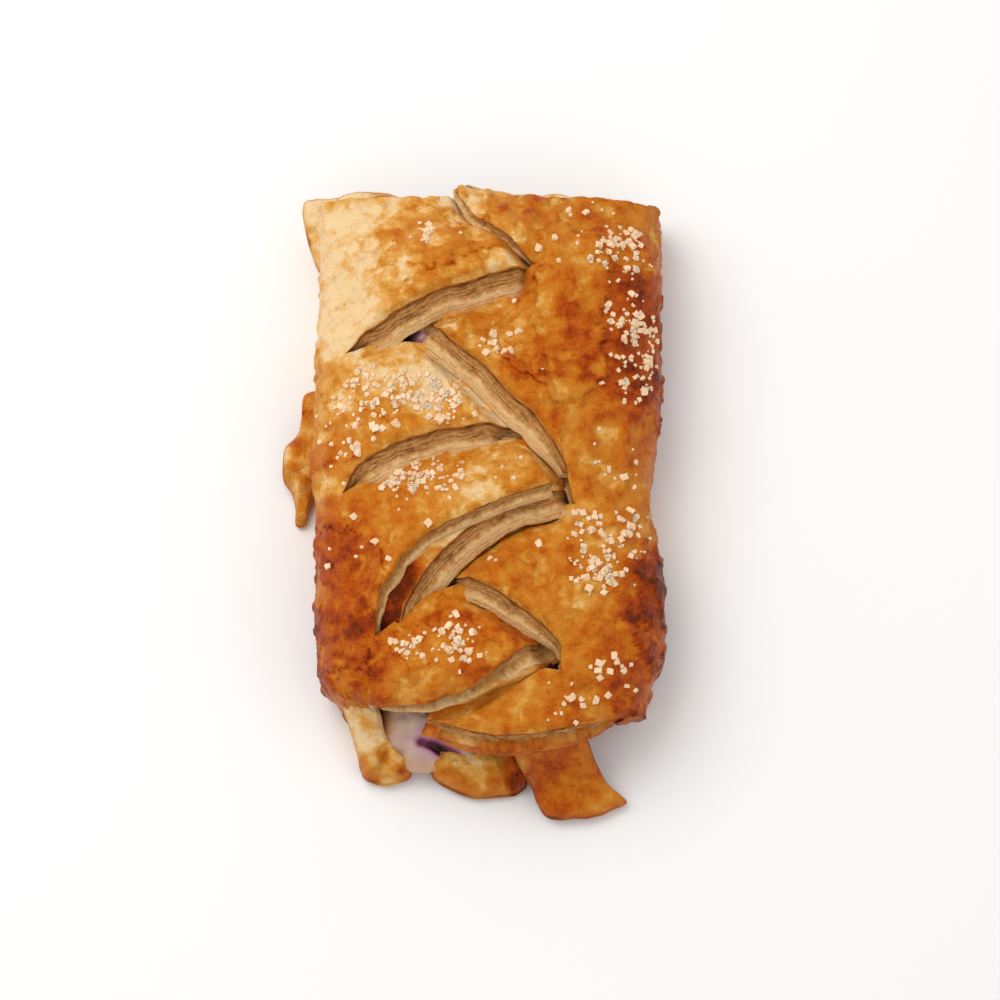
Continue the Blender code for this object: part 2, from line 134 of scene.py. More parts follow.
# The dough case: puff pastry rolled about 4.6 mm thick, brushed with egg and baked. Left and right
# halves each run from the middle of the base, round the wall and out into the strips on top. The
# strips' free edges are cut clean, so the plies fan out there.
#
# The loaf's cross-section is a rounded square whose power is SQUARENESS. A wall ends at the share JOIN
# of its reach. A strip's free edge lifts by RISE over its first FREE_RUN millimetres, and the foot of
# its cut edge stands out by SPLAY.
LEFT_REACH = 33.2
RIGHT_REACH = 33.5
WIDEST_Z = 9.0
CROWN_Z = 24.0
BASE_DEPTH = 12.0
SQUARENESS = 3.2
BACK_Y = 57.5
FRONT_Y = -46.0
DOUGH = 4.6
JOIN = 0.93
RISE = 2.8
FREE_RUN = 9.0
SPLAY = 4.8
CLEARANCE = 1.1
BASE_ROWS = 8
LOWER_WALL_ROWS = 14
UPPER_WALL_ROWS = 18
SHARED_ROWS = 22
FREE_ROWS = 84
COLUMN_WIDTH = 0.5
LEAST_WIDTH = 16
PLY_COLUMNS = 38
INNER_COLUMNS = 16
# The strips' inner side gets a gap value that darkens it as painted shade.
INNER_FINISH = (0.75, 1.0, 0.5, 0.0, 0.0)
PLIES = 8
CREST_ROUNDING = 2.2
MERGE_DISTANCE = 2e-6
TINY = 1e-9
LATTICE = 32

lattice = np.random.default_rng(11).uniform(-1, 1, (LATTICE, LATTICE, LATTICE))


def smooth(t):
    """A soft step from 0 to 1 as t goes from 0 to 1."""
    t = np.clip(t, 0.0, 1.0)
    return t * t * (3 - 2 * t)


def on_plan(x, y):
    """Points over (x, y) at height 0."""
    return np.stack([x, y, np.zeros_like(x)], axis=-1)


def lumps(points, size, turn=0.0):
    """Soft noise from -1 to 1 with lumps of this size, at an array of points."""
    spot = points / size + turn * 5.37
    cell = np.floor(spot).astype(int)
    f = spot - cell
    f = f * f * (3 - 2 * f)
    total = np.zeros(points.shape[:-1])
    for dx in (0, 1):
        for dy in (0, 1):
            for dz in (0, 1):
                share = ((f[..., 0] if dx else 1 - f[..., 0]) * (f[..., 1] if dy else 1 - f[..., 1])
                         * (f[..., 2] if dz else 1 - f[..., 2]))
                total += share * lattice[(cell[..., 0] + dx) % LATTICE, (cell[..., 1] + dy) % LATTICE,
                                         (cell[..., 2] + dz) % LATTICE]
    return total


def reach(side, y):
    """Half width of the loaf at y on the left (-1) or right (1). It narrows towards the front, where
    the left wall turns inwards."""
    if side < 0:
        turned_in = 7.0 * smooth((-35.5 - y) / 11)
        return LEFT_REACH - 3.2 * smooth((-18 - y) / 26) + 0.45 * np.sin(y / 9) - turned_in
    return RIGHT_REACH - 1.9 * np.exp(-((y - 1) / 11) ** 2) - 4.6 * smooth((-26 - y) / 20)


def end_droop(y):
    """How far the top sinks towards the loaf's two ends."""
    return 3.6 * (smooth(1 - (BACK_Y - y) / 12) + smooth(1 - (y - FRONT_Y) / 12))


def crust_height(x, y):
    """Height of the loaf's skin over (x, y) before any strip rises or sinks."""
    across = np.where(x < 0, -x / reach(-1, y), x / reach(1, y))
    across = np.clip(across, 0, 0.999)
    return WIDEST_Z + (CROWN_Z - WIDEST_Z - end_droop(y)) * (1 - across ** SQUARENESS) ** (1 / SQUARENESS)


def skin_normal(height, x, y):
    """Upward unit normals of a height function."""
    step = 0.3
    slope_x = (height(x + step, y) - height(x - step, y)) / (2 * step)
    slope_y = (height(x, y + step) - height(x, y - step)) / (2 * step)
    normal = np.stack([-slope_x, -slope_y, np.ones_like(slope_x)], axis=-1)
    return normal / np.linalg.norm(normal, axis=-1, keepdims=True)


def curve_points(a, b, c, d, count):
    """Points from b on towards c along the smooth curve through four knots, c itself left out."""
    steps = [k / count for k in range(count)]
    return [0.5 * (2 * b + (c - a) * t + (2 * a - 5 * b + 4 * c - d) * t * t
                   + (3 * b - a - 3 * c + d) * t ** 3) for t in steps]


def lengths_along(line):
    """How far along a line of points each one lies."""
    return np.concatenate([[0], np.cumsum(np.linalg.norm(np.diff(line, axis=0), axis=1))])


def smooth_line(points, count, start=0):
    """Evenly spaced plan points along a smooth line through the given ones, from number start on,
    with how far along each lies."""
    knots = [Vector(p) for p in points]
    padded = [2 * knots[0] - knots[1], *knots, 2 * knots[-1] - knots[-2]]
    dense = []
    for i in range(start, len(knots) - 1):
        dense += curve_points(*padded[i:i + 4], 16)
    dense = np.array([*dense, knots[-1]])
    along = lengths_along(dense)
    even = np.linspace(0, along[-1], count)
    return np.stack([np.interp(even, along, dense[:, i]) for i in (0, 1)], axis=1), even


def between_lines(back, front, v):
    """Plan coordinates over a strip, from its back line (v = 0) to its front line (v = 1)."""
    x, y = (back[:, None, i] + (front[:, None, i] - back[:, None, i]) * v for i in (0, 1))
    return x, y


def unit(vectors):
    """The same directions at length 1."""
    return vectors / (np.linalg.norm(vectors, axis=-1, keepdims=True) + TINY)


def outward(line, other):
    """Plan directions in which the edge line faces, away from the other edge."""
    along = np.gradient(line, axis=0)
    out = unit(np.stack([along[:, 1], -along[:, 0]], axis=1))
    away = unit(line - other)
    out *= np.where((out * away).sum(axis=1, keepdims=True) < 0, -1, 1)
    return unit(0.55 * out + 0.45 * away)


def distance_to(line, x, y):
    """Distance in plan to a bent line, how far along it (0 to 1) the nearest place lies, and on which
    side the point is."""
    best, where, side = np.full(x.shape, 1e9), np.zeros(x.shape), np.ones(x.shape)
    for i in range(len(line) - 1):
        a, b = np.array(line[i]), np.array(line[i + 1])
        run = b - a
        t = np.clip(((x - a[0]) * run[0] + (y - a[1]) * run[1]) / (run ** 2).sum(), 0, 1)
        d = np.hypot(x - a[0] - run[0] * t, y - a[1] - run[1] * t)
        nearer = d < best
        where = np.where(nearer, (i + t) / (len(line) - 1), where)
        side = np.where(nearer, np.sign(run[0] * (y - a[1]) - run[1] * (x - a[0])), side)
        best = np.minimum(best, d)
    return best, where, side


def inside_outline(points, outline):
    """1 inside the outline and 0 outside, with a ragged border."""
    x, y = points[..., 0], points[..., 1]
    closed = [*outline, outline[0]]
    within = np.zeros(x.shape, dtype=bool)
    for (ax, ay), (bx, by) in zip(closed, closed[1:]):
        crosses = (ay > y) != (by > y)
        within ^= crosses & (x < ax + (y - ay) * (bx - ax) / (by - ay + TINY))
    border = distance_to(closed, x, y)[0] * np.where(within, 1, -1)
    return smooth((border + 1.5 * lumps(points, 2.4, 18) + 0.8 * lumps(points, 1.1, 19) + 0.3) / 0.5)


def blisters(points):
    """Height in mm of the skin's blisters, wrinkles and torn flakes, and where flakes are torn off and
    where small blisters stand, each from 0 to 1."""
    warped = points + 0.9 * np.stack([lumps(points, 2.1, k) for k in (1, 2, 3)], axis=-1)
    big = smooth((lumps(points, 6.5, 4) - 0.05) / 0.5)
    small = smooth((lumps(warped, 2.6, 5) - 0.1) / 0.45)
    fine = lumps(warped, 0.9, 6)
    torn = smooth((lumps(warped, 4.2, 7) + 0.45 * lumps(warped, 1.3, 8) - 0.3) / 0.07)
    creased = smooth(1 - np.abs(lumps(warped * np.array([0.55, 1.0, 1.0]), 3.4, 10)) / 0.16)
    height = 0.46 * big + 0.50 * small + 0.12 * fine - 0.32 * torn - 0.20 * creased
    return height + 0.40 * lumps(points, 11, 9), torn, small


def fibres(along, down, plies, seed):
    """How far the plies of a cut edge stand out, from 0 in a gap to 1, their coarse and fine threads
    from -1 to 1, and how wide each gap is open. along and down are millimetres along the edge and a
    share of its depth."""
    spot = np.stack([along / 5.0, plies * down + 0 * along, np.full_like(along, seed)], axis=-1)
    wander = lumps(spot * np.array([1, 0.25, 1]), 1.0, 21)
    phase = plies * down + 0.6 * wander + 0.22 * lumps(spot * np.array([6, 0.6, 1]), 1.0, 22)
    sheet = np.abs(np.cos(math.pi * phase))
    streak = lumps(spot * np.array([2.6, 1.8, 1]), 1.0, 23)
    fine = lumps(spot * np.array([9.0, 4.0, 1]), 1.0, 24)
    open_gap = smooth((lumps(spot * np.array([3.4, 0.7, 1]), 1.0, 25) - 0.05) / 0.4)
    return sheet, streak, fine, open_gap


def browned(points, spots, base):
    """Browning from 0, pale, to 1, dark: a base level pulled towards named spots, each (x, y, radius,
    level). In a few strips some spots are darkened further as painted shade."""
    weight = np.full(points.shape[:-1], 0.16)
    total = weight * base
    for x, y, radius, level in spots:
        distance = (points[..., 0] - x) ** 2 + (points[..., 1] - y) ** 2
        pull = np.exp(-distance / (2 * (radius * 0.62) ** 2))
        total = total + pull * level
        weight = weight + pull
    return total / weight


class Sheet:
    """Gathers points, faces and finish values until they become one mesh."""

    def __init__(self):
        self.points, self.faces, self.values, self.count = [], [], [], 0

    def add(self, points, values, faces):
        self.points.append(points.reshape(-1, 3))
        self.values.append(values.reshape(-1, values.shape[-1]))
        self.faces += [tuple(i + self.count for i in face) for face in faces]
        self.count += self.points[-1].shape[0]

    def made(self, name, material, merge=True):
        """The mesh object. Its attributes are browned (0 to 1, which also carries painted shade on cut edges,
        along flake borders and in a few spots), cut (1 on a cut edge), gap (1 between two plies, the strength
        of the painted shade there), and, where the values have them, the place along and down a cut edge as grain."""
        points = (np.concatenate(self.points) + np.array(FOOTPRINT_SHIFT)) * MM
        mesh = bpy.data.meshes.new(name)
        mesh.from_pydata(points.tolist(), [], self.faces)
        values = np.concatenate(self.values)
        for k, label in enumerate(("browned", "cut", "gap")):
            layer = mesh.attributes.new(label, "FLOAT", "POINT")
            layer.data.foreach_set("value", values[:, k].astype(np.float32))
        if values.shape[1] > 3:
            grain = np.zeros((len(points), 3), dtype=np.float32)
            grain[:, :2] = values[:, 3:5]
            mesh.attributes.new("grain", "FLOAT_VECTOR", "POINT").data.foreach_set("vector", grain.ravel())
        shape = bmesh.new()
        shape.from_mesh(mesh)
        bmesh.ops.delete(shape, geom=[v for v in shape.verts if not v.link_faces], context="VERTS")
        if merge:
            bmesh.ops.remove_doubles(shape, verts=shape.verts, dist=MERGE_DISTANCE)
        bmesh.ops.recalc_face_normals(shape, faces=shape.faces)
        shape.to_mesh(mesh)
        shape.free()
        mesh.materials.append(material)
        mesh.shade_smooth()
        piece = bpy.data.objects.new(name, mesh)
        scene.collection.objects.link(piece)
        return piece


def ring_faces(rows, ring, left_out=None):
    """Quads between rows of rings. left_out(row, k) says which are missing."""
    faces = []
    for j in range(rows - 1):
        for k in range(ring):
            if left_out and left_out(j, k):
                continue
            a, b = j * ring + k, j * ring + (k + 1) % ring
            faces.append((a, b, b + ring, a + ring))
    return faces


def closed_faces(rows, ring):
    """Quads between rows of rings, and a face that closes each end."""
    last = (rows - 1) * ring
    return [*ring_faces(rows, ring), tuple(range(ring)), tuple(range(last, last + ring))]


def pressed_down(lift, x, y, upper):
    """The lift of a strip that goes under an upper one: it stays below the upper strip's foot."""
    cut = upper["front"]
    line, along = smooth_line([cut["root"], *cut["line"]], 60)
    behind = np.array(upper["back"]["line"]).mean(axis=0)
    covered = distance_to(line, np.array([behind[0]]), np.array([behind[1]]))[2][0]
    gap, where, side = distance_to(line, x, y)
    outside = gap * np.where(side == covered, -1, 1)
    opened = smooth(where * along[-1] / cut["run"])
    splay = np.interp(where, (0, 1), upper.get("splay", (SPLAY, SPLAY))) * opened
    foot = upper.get("rise", RISE) * opened - upper.get("thickness", DOUGH) - upper.get("clearance", CLEARANCE)
    past_tip = np.maximum(gap - 1.5, 0) * (where > 0.999)
    limit = foot + 2.0 * np.maximum(outside - splay, 0) + 1.5 * past_tip
    return -np.logaddexp(-2.5 * lift, -2.5 * limit) / 2.5


def dough_sections(outer, normal, front, back, thickness, tone, flakes=()):
    """Rings round a strip of dough, row by row: skin, front cut edge, inner side, back cut edge.

    outer and normal are rows x columns x 3. front and back describe the cut edges row by row: the plan
    direction that each faces (out), how far it has opened (show), how far its foot stands out (splay),
    whether it is a fresh cut or crusted over (cut), its plies, their relief, and its foot's browning
    from the share rim of its depth on. flakes are raised areas, each (outline, height, browning), and a
    painted dark line of shade runs along each flake's border to mark its step.
    """
    height, torn, small = blisters(outer)
    flake_tone_and_border_shade = 0
    for outline, rise, darker in flakes:
        mask = inside_outline(outer, outline)
        height = height + rise * mask
        # mask * (1 - mask) is a painted dark line of shade along each flake's border, marking its step.
        flake_tone_and_border_shade = flake_tone_and_border_shade + darker * mask + 1.1 * mask * (1 - mask)
    skin = outer + normal * height[..., None]
    rows, columns = outer.shape[:2]
    thickness = thickness * np.ones((rows, 1))
    crest, heel_top = skin[:, -1], skin[:, 0]
    depth = thickness * (1 + 0.12 * lumps(outer, 8, 12))
    foot_in = outer[:, -1] - normal[:, -1] * depth[:, -1:]
    heel_in = outer[:, 0] - normal[:, 0] * depth[:, :1]
    foot = foot_in + front["out"] * (front["splay"] * front["show"])[:, None]
    heel = heel_in + back["out"] * (back["splay"] * back["show"])[:, None]

    def edge(top, bottom, look, seed):
        """A cut edge from the crest down to the foot: its points and finish values."""
        down = (np.arange(1, PLY_COLUMNS + 1) / (PLY_COLUMNS + 1))[None]
        drop = bottom - top
        sideways = drop * np.array([1, 1, 0])
        upright = drop - sideways
        line = (top[:, None] + sideways[:, None] * down[..., None]
                + upright[:, None] * down[..., None] ** 0.9)
        along = lengths_along(top)[:, None] + 0 * down
        down = down + 0 * along
        sheet, streak, fine, open_gap = fibres(along, down, look["plies"], seed)
        wander = lumps(np.stack([along / 7, 0 * along, 0 * along + seed], axis=-1), 1.0, 26)
        last_ply = smooth((down - 0.54 - 0.12 * wander) / 0.07)
        hollow = smooth(down / 0.22) * (1 - last_ply)
        relief = 0.20 * sheet + 0.16 * streak + 0.08 * fine - 0.42 * open_gap * (1 - sheet) ** 1.5
        relief = relief * (1 - 0.55 * last_ply) - 0.62 * hollow + 0.30 * last_ply
        relief = relief * np.sin(math.pi * down) ** 0.35 * look["relief"][:, None]
        line = line + look["out"][:, None] * (relief * look["show"][:, None])[..., None]
        ragged = look["rim"] + 0.06 * streak
        fresh = look["cut"][:, None] * (1 - 0.85 * smooth((down - ragged) / 0.12)
                                        - 0.8 * smooth((0.09 - down) / 0.09))
        # The top of a cut edge, just under the crest, is made darker as painted shade under the crest's overhang.
        level = 0.46 - 0.46 * last_ply + 0.46 * smooth((0.30 - down) / 0.25) + 0.24 * streak + 0.14 * fine
        crusted = look["foot"] + 0.14 * lumps(line, 3.0, 13) + 0.08 * fine
        level = level * fresh + crusted * (1 - fresh)
        # The gap value darkens the cut edge between the plies and where a gap opens, as painted shade.
        gap = np.clip((1 - sheet) ** 1.6 * (0.10 + 1.1 * open_gap) + 0.25 * smooth(-streak - 0.2), 0, 1)
        gap = gap * look["cut"][:, None] * (1 - 0.7 * last_ply)
        grain = along + 40 * seed, down * depth.mean() * 1.4
        return line, np.stack([level, np.clip(fresh, 0, 1), gap, *grain], axis=-1)

    front_line, front_value = edge(crest, foot, front, 1.0)
    back_line, back_value = edge(heel_top, heel, back, 2.0)
    v = np.linspace(1, 0, INNER_COLUMNS)
    pick = np.round(v * (columns - 1)).astype(int)
    inner = outer[:, pick] - normal[:, pick] * depth[:, pick, None]
    inner = inner + (foot - foot_in)[:, None] * (v ** 2)[None, :, None]
    inner = inner + (heel - heel_in)[:, None] * ((1 - v) ** 2)[None, :, None]
    ring = np.concatenate([skin, front_line, inner, back_line[:, ::-1]], axis=1)

    level = tone(outer) + 0.10 * lumps(outer, 2.2, 15) + 0.12 * lumps(outer, 5.5, 16) + 0.12 * (small - 0.4)
    level = level - 0.18 * torn + 0.05 * lumps(outer, 0.9, 17) + flake_tone_and_border_shade
    uncut = np.zeros((rows, columns))
    skin_value = np.stack([level, uncut, 0.5 * torn, outer[..., 0], outer[..., 1]], axis=-1)
    inner_value = np.tile(INNER_FINISH, (rows, INNER_COLUMNS, 1))
    values = np.concatenate([skin_value, front_value, inner_value, back_value[:, ::-1]], axis=1)
    return ring, values, columns


def edge_look(out, show, splay, cut=1.0, plies=PLIES, relief=1.0, foot=0.2, rim=0.84):
    """How a cut edge is made, row by row. out is the plan direction that it faces."""
    rows = len(out)
    return {"out": np.concatenate([out, np.zeros((rows, 1))], axis=1), "show": show,
            "splay": splay + np.zeros(rows), "cut": cut + np.zeros(rows), "plies": plies,
            "relief": relief + np.zeros(rows), "foot": foot, "rim": rim}


def wall_rows(count_low, count_up):
    """Outline of a wall as (x share of reach, z share, normal) rows, from the loaf's middle line along
    the base and up to the join with the top."""
    floor_turn = math.asin((WIDEST_Z / BASE_DEPTH) ** (SQUARENESS / 2))
    corner = math.cos(floor_turn) ** (2 / SQUARENESS)
    rows = [(corner * k / BASE_ROWS, -1.0, 0.0, -1.0) for k in range(BASE_ROWS)]
    turns = [-floor_turn * (1 - k / count_low) for k in range(count_low)]
    join_turn = math.acos(JOIN ** (SQUARENESS / 2))
    turns += [join_turn * k / count_up for k in range(count_up)]
    for turn in turns:
        c, s = math.cos(turn), math.sin(turn)
        x = c ** (2 / SQUARENESS)
        z = math.copysign(abs(s) ** (2 / SQUARENESS), s)
        nx = c ** (2 - 2 / SQUARENESS)
        nz = math.copysign(abs(s) ** (2 - 2 / SQUARENESS), s)
        rows.append((x, z, nx, nz))
    return rows


def comb(name, side, strips, material):
    """One half of the case with its strips. Neighbouring strips share their edge up to the cut's root."""
    sheet = Sheet()
    outline = wall_rows(LOWER_WALL_ROWS, UPPER_WALL_ROWS)
    wall_count = len(outline)
    root_row = wall_count + SHARED_ROWS
    flat = np.zeros((wall_count, 2))
    for strip in strips.values():
        back, front = strip["back"], strip["front"]
        lines, frees = {}, {}
        for label, cut in (("back", back), ("front", front)):
            root = cut["root"]
            join_x = side * JOIN * float(reach(side, cut["wall_y"][-1]))
            shared = np.linspace((join_x, cut["wall_y"][-1]), root, SHARED_ROWS, endpoint=False)
            lead = (root[0] + side * 3, cut["wall_y"][-1])
            free, along = smooth_line([lead, root, *cut["line"]], FREE_ROWS, start=1)
            lifting = smooth(along / cut["run"]) if cut["lifts"] else np.zeros(FREE_ROWS)
            frees[label] = np.concatenate([np.zeros(root_row), lifting])
            lines[label] = np.concatenate([shared, free])
        width = abs(back["wall_y"][0] - front["wall_y"][0])
        columns = round(max(width, LEAST_WIDTH) / COLUMN_WIDTH)
        v = np.linspace(0, 1, columns + 1)
        up = np.linspace(0, 1, wall_count + 1)[:-1]
        y_back = np.interp(up, np.linspace(0, 1, len(back["wall_y"])), back["wall_y"])
        y_front = np.interp(up, np.linspace(0, 1, len(front["wall_y"])), front["wall_y"])
        outer, normal = [], []
        for (share, z, nx, nz), yb, yf in zip(outline, y_back, y_front):
            y = yb + (yf - yb) * v
            a = reach(side, y)
            top = CROWN_Z - WIDEST_Z - end_droop(y)
            height = np.maximum(WIDEST_Z + np.where(z > 0, top * z, BASE_DEPTH * z), 0.0)
            outer.append(np.stack([side * share * a, y, height], axis=-1))
            n = np.stack([side * nx / a, np.zeros_like(y), nz / np.where(z > 0, top, BASE_DEPTH)], axis=-1)
            normal.append(n / np.linalg.norm(n, axis=-1, keepdims=True))
        b, f = lines["back"], lines["front"]
        wave = on_plan(*f.T)
        f = f + outward(f, b) * (0.45 * lumps(wave, 3.2, 31) * frees["front"][wall_count:])[:, None]
        if back["end"]:
            ragged = on_plan(*b.T)
            b = b + (0, 1) * (0.5 * lumps(ragged, 3.6, 34) + 0.25 * lumps(ragged, 1.4, 35)
                              * smooth(np.arange(len(b)) / 6))[:, None]
        x, y = between_lines(b, f, v)
        fit = side * JOIN * reach(side, y[0]) - x[0]
        fade = 1 - smooth(np.arange(x.shape[0]) / SHARED_ROWS)
        x = x + fit[None] * fade[:, None]
        lift_back = -RISE * frees["back"][wall_count:]
        lift_front = strip.get("rise", RISE) * frees["front"][wall_count:]
        lift_front = lift_front * (1 + 0.22 * lumps(wave, 7.0, 32))
        opened = np.clip(frees["back"] + frees["front"], 0, 1)[wall_count:]
        lift = lift_back[:, None] * (1 - v) + lift_front[:, None] * v
        if "spread" in strip:
            gap, where, _ = distance_to(f[SHARED_ROWS:], x, y)
            near = np.interp(where, np.linspace(0, 1, FREE_ROWS), lift_front[SHARED_ROWS:])
            lift = lift_back[:, None] * (1 - v) + near * np.exp(-(gap / strip["spread"]) ** 2)
        lift = lift + 0.9 * opened[:, None] * np.sin(math.pi * v)
        from_crest = (1 - v) * np.linalg.norm(f - b, axis=1)[:, None]
        turned_over = np.clip(1 - from_crest / CREST_ROUNDING, 0, 1) ** 2
        shows = 1.0 if front["end"] else frees["front"][wall_count:, None]
        lift = lift - 1.1 * shows * turned_over
        near_tip = smooth(1 - np.linalg.norm(f - f[-1], axis=1) / 4.5)
        for upper in strip.get("under", ()):
            pressed = pressed_down(lift, x, y, COVERS[upper])
            lift = lift + (pressed - lift) * smooth((np.arange(len(f)) - SHARED_ROWS) / 14)[:, None]
        thinned = np.concatenate([np.ones(wall_count), 1 - 0.55 * near_tip])[:, None]
        top_rows = np.stack([x, y, crust_height(x, y) + lift], axis=-1)
        outer = np.concatenate([np.array(outer), top_rows])
        normal = np.concatenate([np.array(normal), skin_normal(crust_height, x, y)])
        on_wall = np.concatenate([np.ones(wall_count), 1 - smooth(np.arange(len(f)) / SHARED_ROWS)])
        thickness = DOUGH + (strip.get("thickness", DOUGH) - DOUGH) * (1 - on_wall[:, None])
        progress = np.concatenate([np.zeros(root_row), np.linspace(0, 1, FREE_ROWS)])
        first, last = strip.get("splay", (SPLAY, SPLAY))
        front_look = edge_look(
            np.concatenate([flat + (0, -1), outward(f, b)]),
            np.ones(len(outer)) if front["end"] else frees["front"],
            (first + (last - first) * progress) * (1 - 0.7 * on_wall), 1 - 0.85 * on_wall,
            strip.get("plies", PLIES), strip.get("relief", 1.0) * (1 - 0.8 * on_wall), strip.get("foot", 0.2),
            strip.get("rim", 0.93))
        back_look = edge_look(
            np.concatenate([flat + (0, 1), outward(b, f)]),
            np.ones(len(outer)) if back["end"] else frees["back"], strip.get("back_splay", 0.8),
            1 - 0.85 * on_wall, foot=0.35)
        ring, values, columns = dough_sections(outer, normal, front_look, back_look, thickness * thinned,
                                               lambda p, s=strip: browned(p, s["browned"], s["tone"]), FLAKES)
        ring[:BASE_ROWS, :columns, 2] = 0.0
        ring[..., 2] = np.maximum(ring[..., 2], 0.0)
        total = ring.shape[1]
        first_inner = columns + PLY_COLUMNS

        def left_out(row, k):
            on_front = columns - 1 <= k < first_inner
            on_back = k >= first_inner + INNER_COLUMNS - 1
            closed = row + 1 <= root_row
            return closed and ((on_front and not front["end"]) or (on_back and not back["end"]))

        faces = ring_faces(len(outer), total, left_out)
        start = list(range(columns))
        if front["end"]:
            start += list(range(columns, first_inner))
        start += list(range(first_inner, first_inner + INNER_COLUMNS))
        if back["end"]:
            start += list(range(first_inner + INNER_COLUMNS, total))
        faces.append(tuple(start))
        faces.append(tuple((len(outer) - 1) * total + k for k in range(total)))
        sheet.add(ring, values, faces)
    piece = sheet.made(name, material)
    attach(piece, "root")
    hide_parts("pastry")
    return piece


def linear(red, green, blue):
    """A display colour of 0 to 255 as the shader's linear colour."""
    return (*[((c / 255) / 12.92 if c <= 10 else ((c / 255 + 0.055) / 1.055) ** 2.4)
              for c in (red, green, blue)], 1)


class Finish:
    """A material being put together. A method adds a node and gives back the socket with its result."""

    def __init__(self, name):
        self.material = bpy.data.materials.new(name)
        self.material.use_nodes = True
        self.nodes, self.links = self.material.node_tree.nodes, self.material.node_tree.links
        self.surface = self.nodes["Principled BSDF"].inputs
        self.place = self.nodes.new("ShaderNodeTexCoord").outputs["Object"]

    def fill(self, socket, value):
        """Joins another node's result to a socket, or sets the socket to a number or a colour."""
        if isinstance(value, bpy.types.NodeSocket):
            self.links.new(value, socket)
        else:
            socket.default_value = value

    def attribute(self, label, kind="Fac"):
        node = self.nodes.new("ShaderNodeAttribute")
        node.attribute_name = label
        return node.outputs[kind]

    def noise(self, scale, detail, roughness=0.6, place=None):
        node = self.nodes.new("ShaderNodeTexNoise")
        node.inputs["Scale"].default_value = scale
        node.inputs["Detail"].default_value = detail
        node.inputs["Roughness"].default_value = roughness
        self.fill(node.inputs["Vector"], self.place if place is None else place)
        return node.outputs["Fac"]

    def worked_out(self, operation, a, b, clamp=False):
        node = self.nodes.new("ShaderNodeMath")
        node.operation = operation
        node.use_clamp = clamp
        self.fill(node.inputs[0], a)
        self.fill(node.inputs[1], b)
        return node.outputs[0]

    def times(self, a, b):
        return self.worked_out("MULTIPLY", a, b)

    def plus(self, a, b, clamp=False):
        return self.worked_out("ADD", a, b, clamp)

    def varied(self, noise, middle, amount):
        """A noise set round 0 and given its strength."""
        return self.times(self.worked_out("SUBTRACT", noise, middle), amount)

    def mixed(self, share, a, b):
        node = self.nodes.new("ShaderNodeMix")
        node.data_type = "RGBA"
        for label, value in (("Factor", share), ("A", a), ("B", b)):
            self.fill(node.inputs[label], value)
        return node.outputs["Result"]

    def coloured(self, level, stops):
        """A run through the colours of (place, display colour) stops."""
        node = self.nodes.new("ShaderNodeValToRGB")
        while len(node.color_ramp.elements) < len(stops):
            node.color_ramp.elements.new(0.5)
        for element, (place, colour) in zip(node.color_ramp.elements, stops):
            element.position = place
            element.color = linear(*colour)
        self.fill(node.inputs["Fac"], level)
        return node.outputs["Color"]

    def roughen(self, height, strength, distance):
        """Fine relief that is too small for the mesh."""
        node = self.nodes.new("ShaderNodeBump")
        node.inputs["Strength"].default_value = strength
        node.inputs["Distance"].default_value = distance
        self.fill(node.inputs["Height"], height)
        self.fill(self.surface["Normal"], node.outputs["Normal"])


def baked_dough():
    """Egg-washed puff pastry. The browned attribute runs through the crust's colours, and cut edges
    take the paler colours of the inner plies, darkened in the gaps as painted shade."""
    finish = Finish("baked_dough")
    browning, cut = finish.attribute("browned"), finish.attribute("cut")
    mottling = finish.varied(finish.noise(420, 5), 0.54, 0.72)
    speckle = finish.varied(finish.noise(1900, 3), 0.5, 0.32)
    crust = finish.coloured(
        finish.plus(browning, finish.plus(mottling, speckle), clamp=True),
        [(0.0, (244, 210, 158)), (0.2, (230, 170, 84)), (0.38, (210, 133, 40)), (0.55, (200, 110, 20)),
         (0.7, (184, 79, 5)), (0.85, (150, 48, 2)), (1.0, (92, 24, 2))])
    stretch = finish.nodes.new("ShaderNodeMapping")
    stretch.inputs["Scale"].default_value = (0.9, 3.2, 1)
    finish.fill(stretch.inputs["Vector"], finish.attribute("grain", "Vector"))
    threads = finish.varied(finish.noise(1, 5, 0.5, stretch.outputs["Vector"]), 0.5, 0.95)
    inside = finish.coloured(
        finish.plus(browning, threads, clamp=True),
        [(0.0, (236, 196, 138)), (0.35, (208, 154, 92)), (0.7, (166, 108, 54)), (1.0, (116, 64, 26))])
    # Painted shade: cut edges darken towards dark brown where the gap attribute is high.
    in_gap_shade = finish.mixed(finish.worked_out("MULTIPLY", finish.attribute("gap"), 0.8, clamp=True), inside,
                          linear(96, 54, 20))
    finish.fill(finish.surface["Base Color"], finish.mixed(cut, crust, in_gap_shade))

    sheen = finish.plus(finish.times(finish.noise(700, 3), 0.25), 0.26)
    finish.fill(finish.surface["Roughness"], finish.plus(sheen, finish.times(cut, 0.30), clamp=True))
    finish.surface["Specular IOR Level"].default_value = 0.34
    finish.surface["Specular Tint"].default_value = (1.0, 0.6, 0.25, 1)
    finish.roughen(finish.plus(finish.noise(900, 6, 0.7), finish.times(finish.noise(2600, 3), 0.5)), 0.9, 0.0006)
    return finish.material


def cut_between(wall_y, root, line=(), lifts=True, end=False, run=FREE_RUN):
    """A cut: its y on the wall from the base up to the join, where it ends, and the free edge beyond,
    which lifts over the first run millimetres."""
    wall = wall_y if isinstance(wall_y, tuple) else (wall_y, wall_y)
    return {"wall_y": wall, "root": root, "line": list(line), "lifts": lifts, "end": end, "run": run}


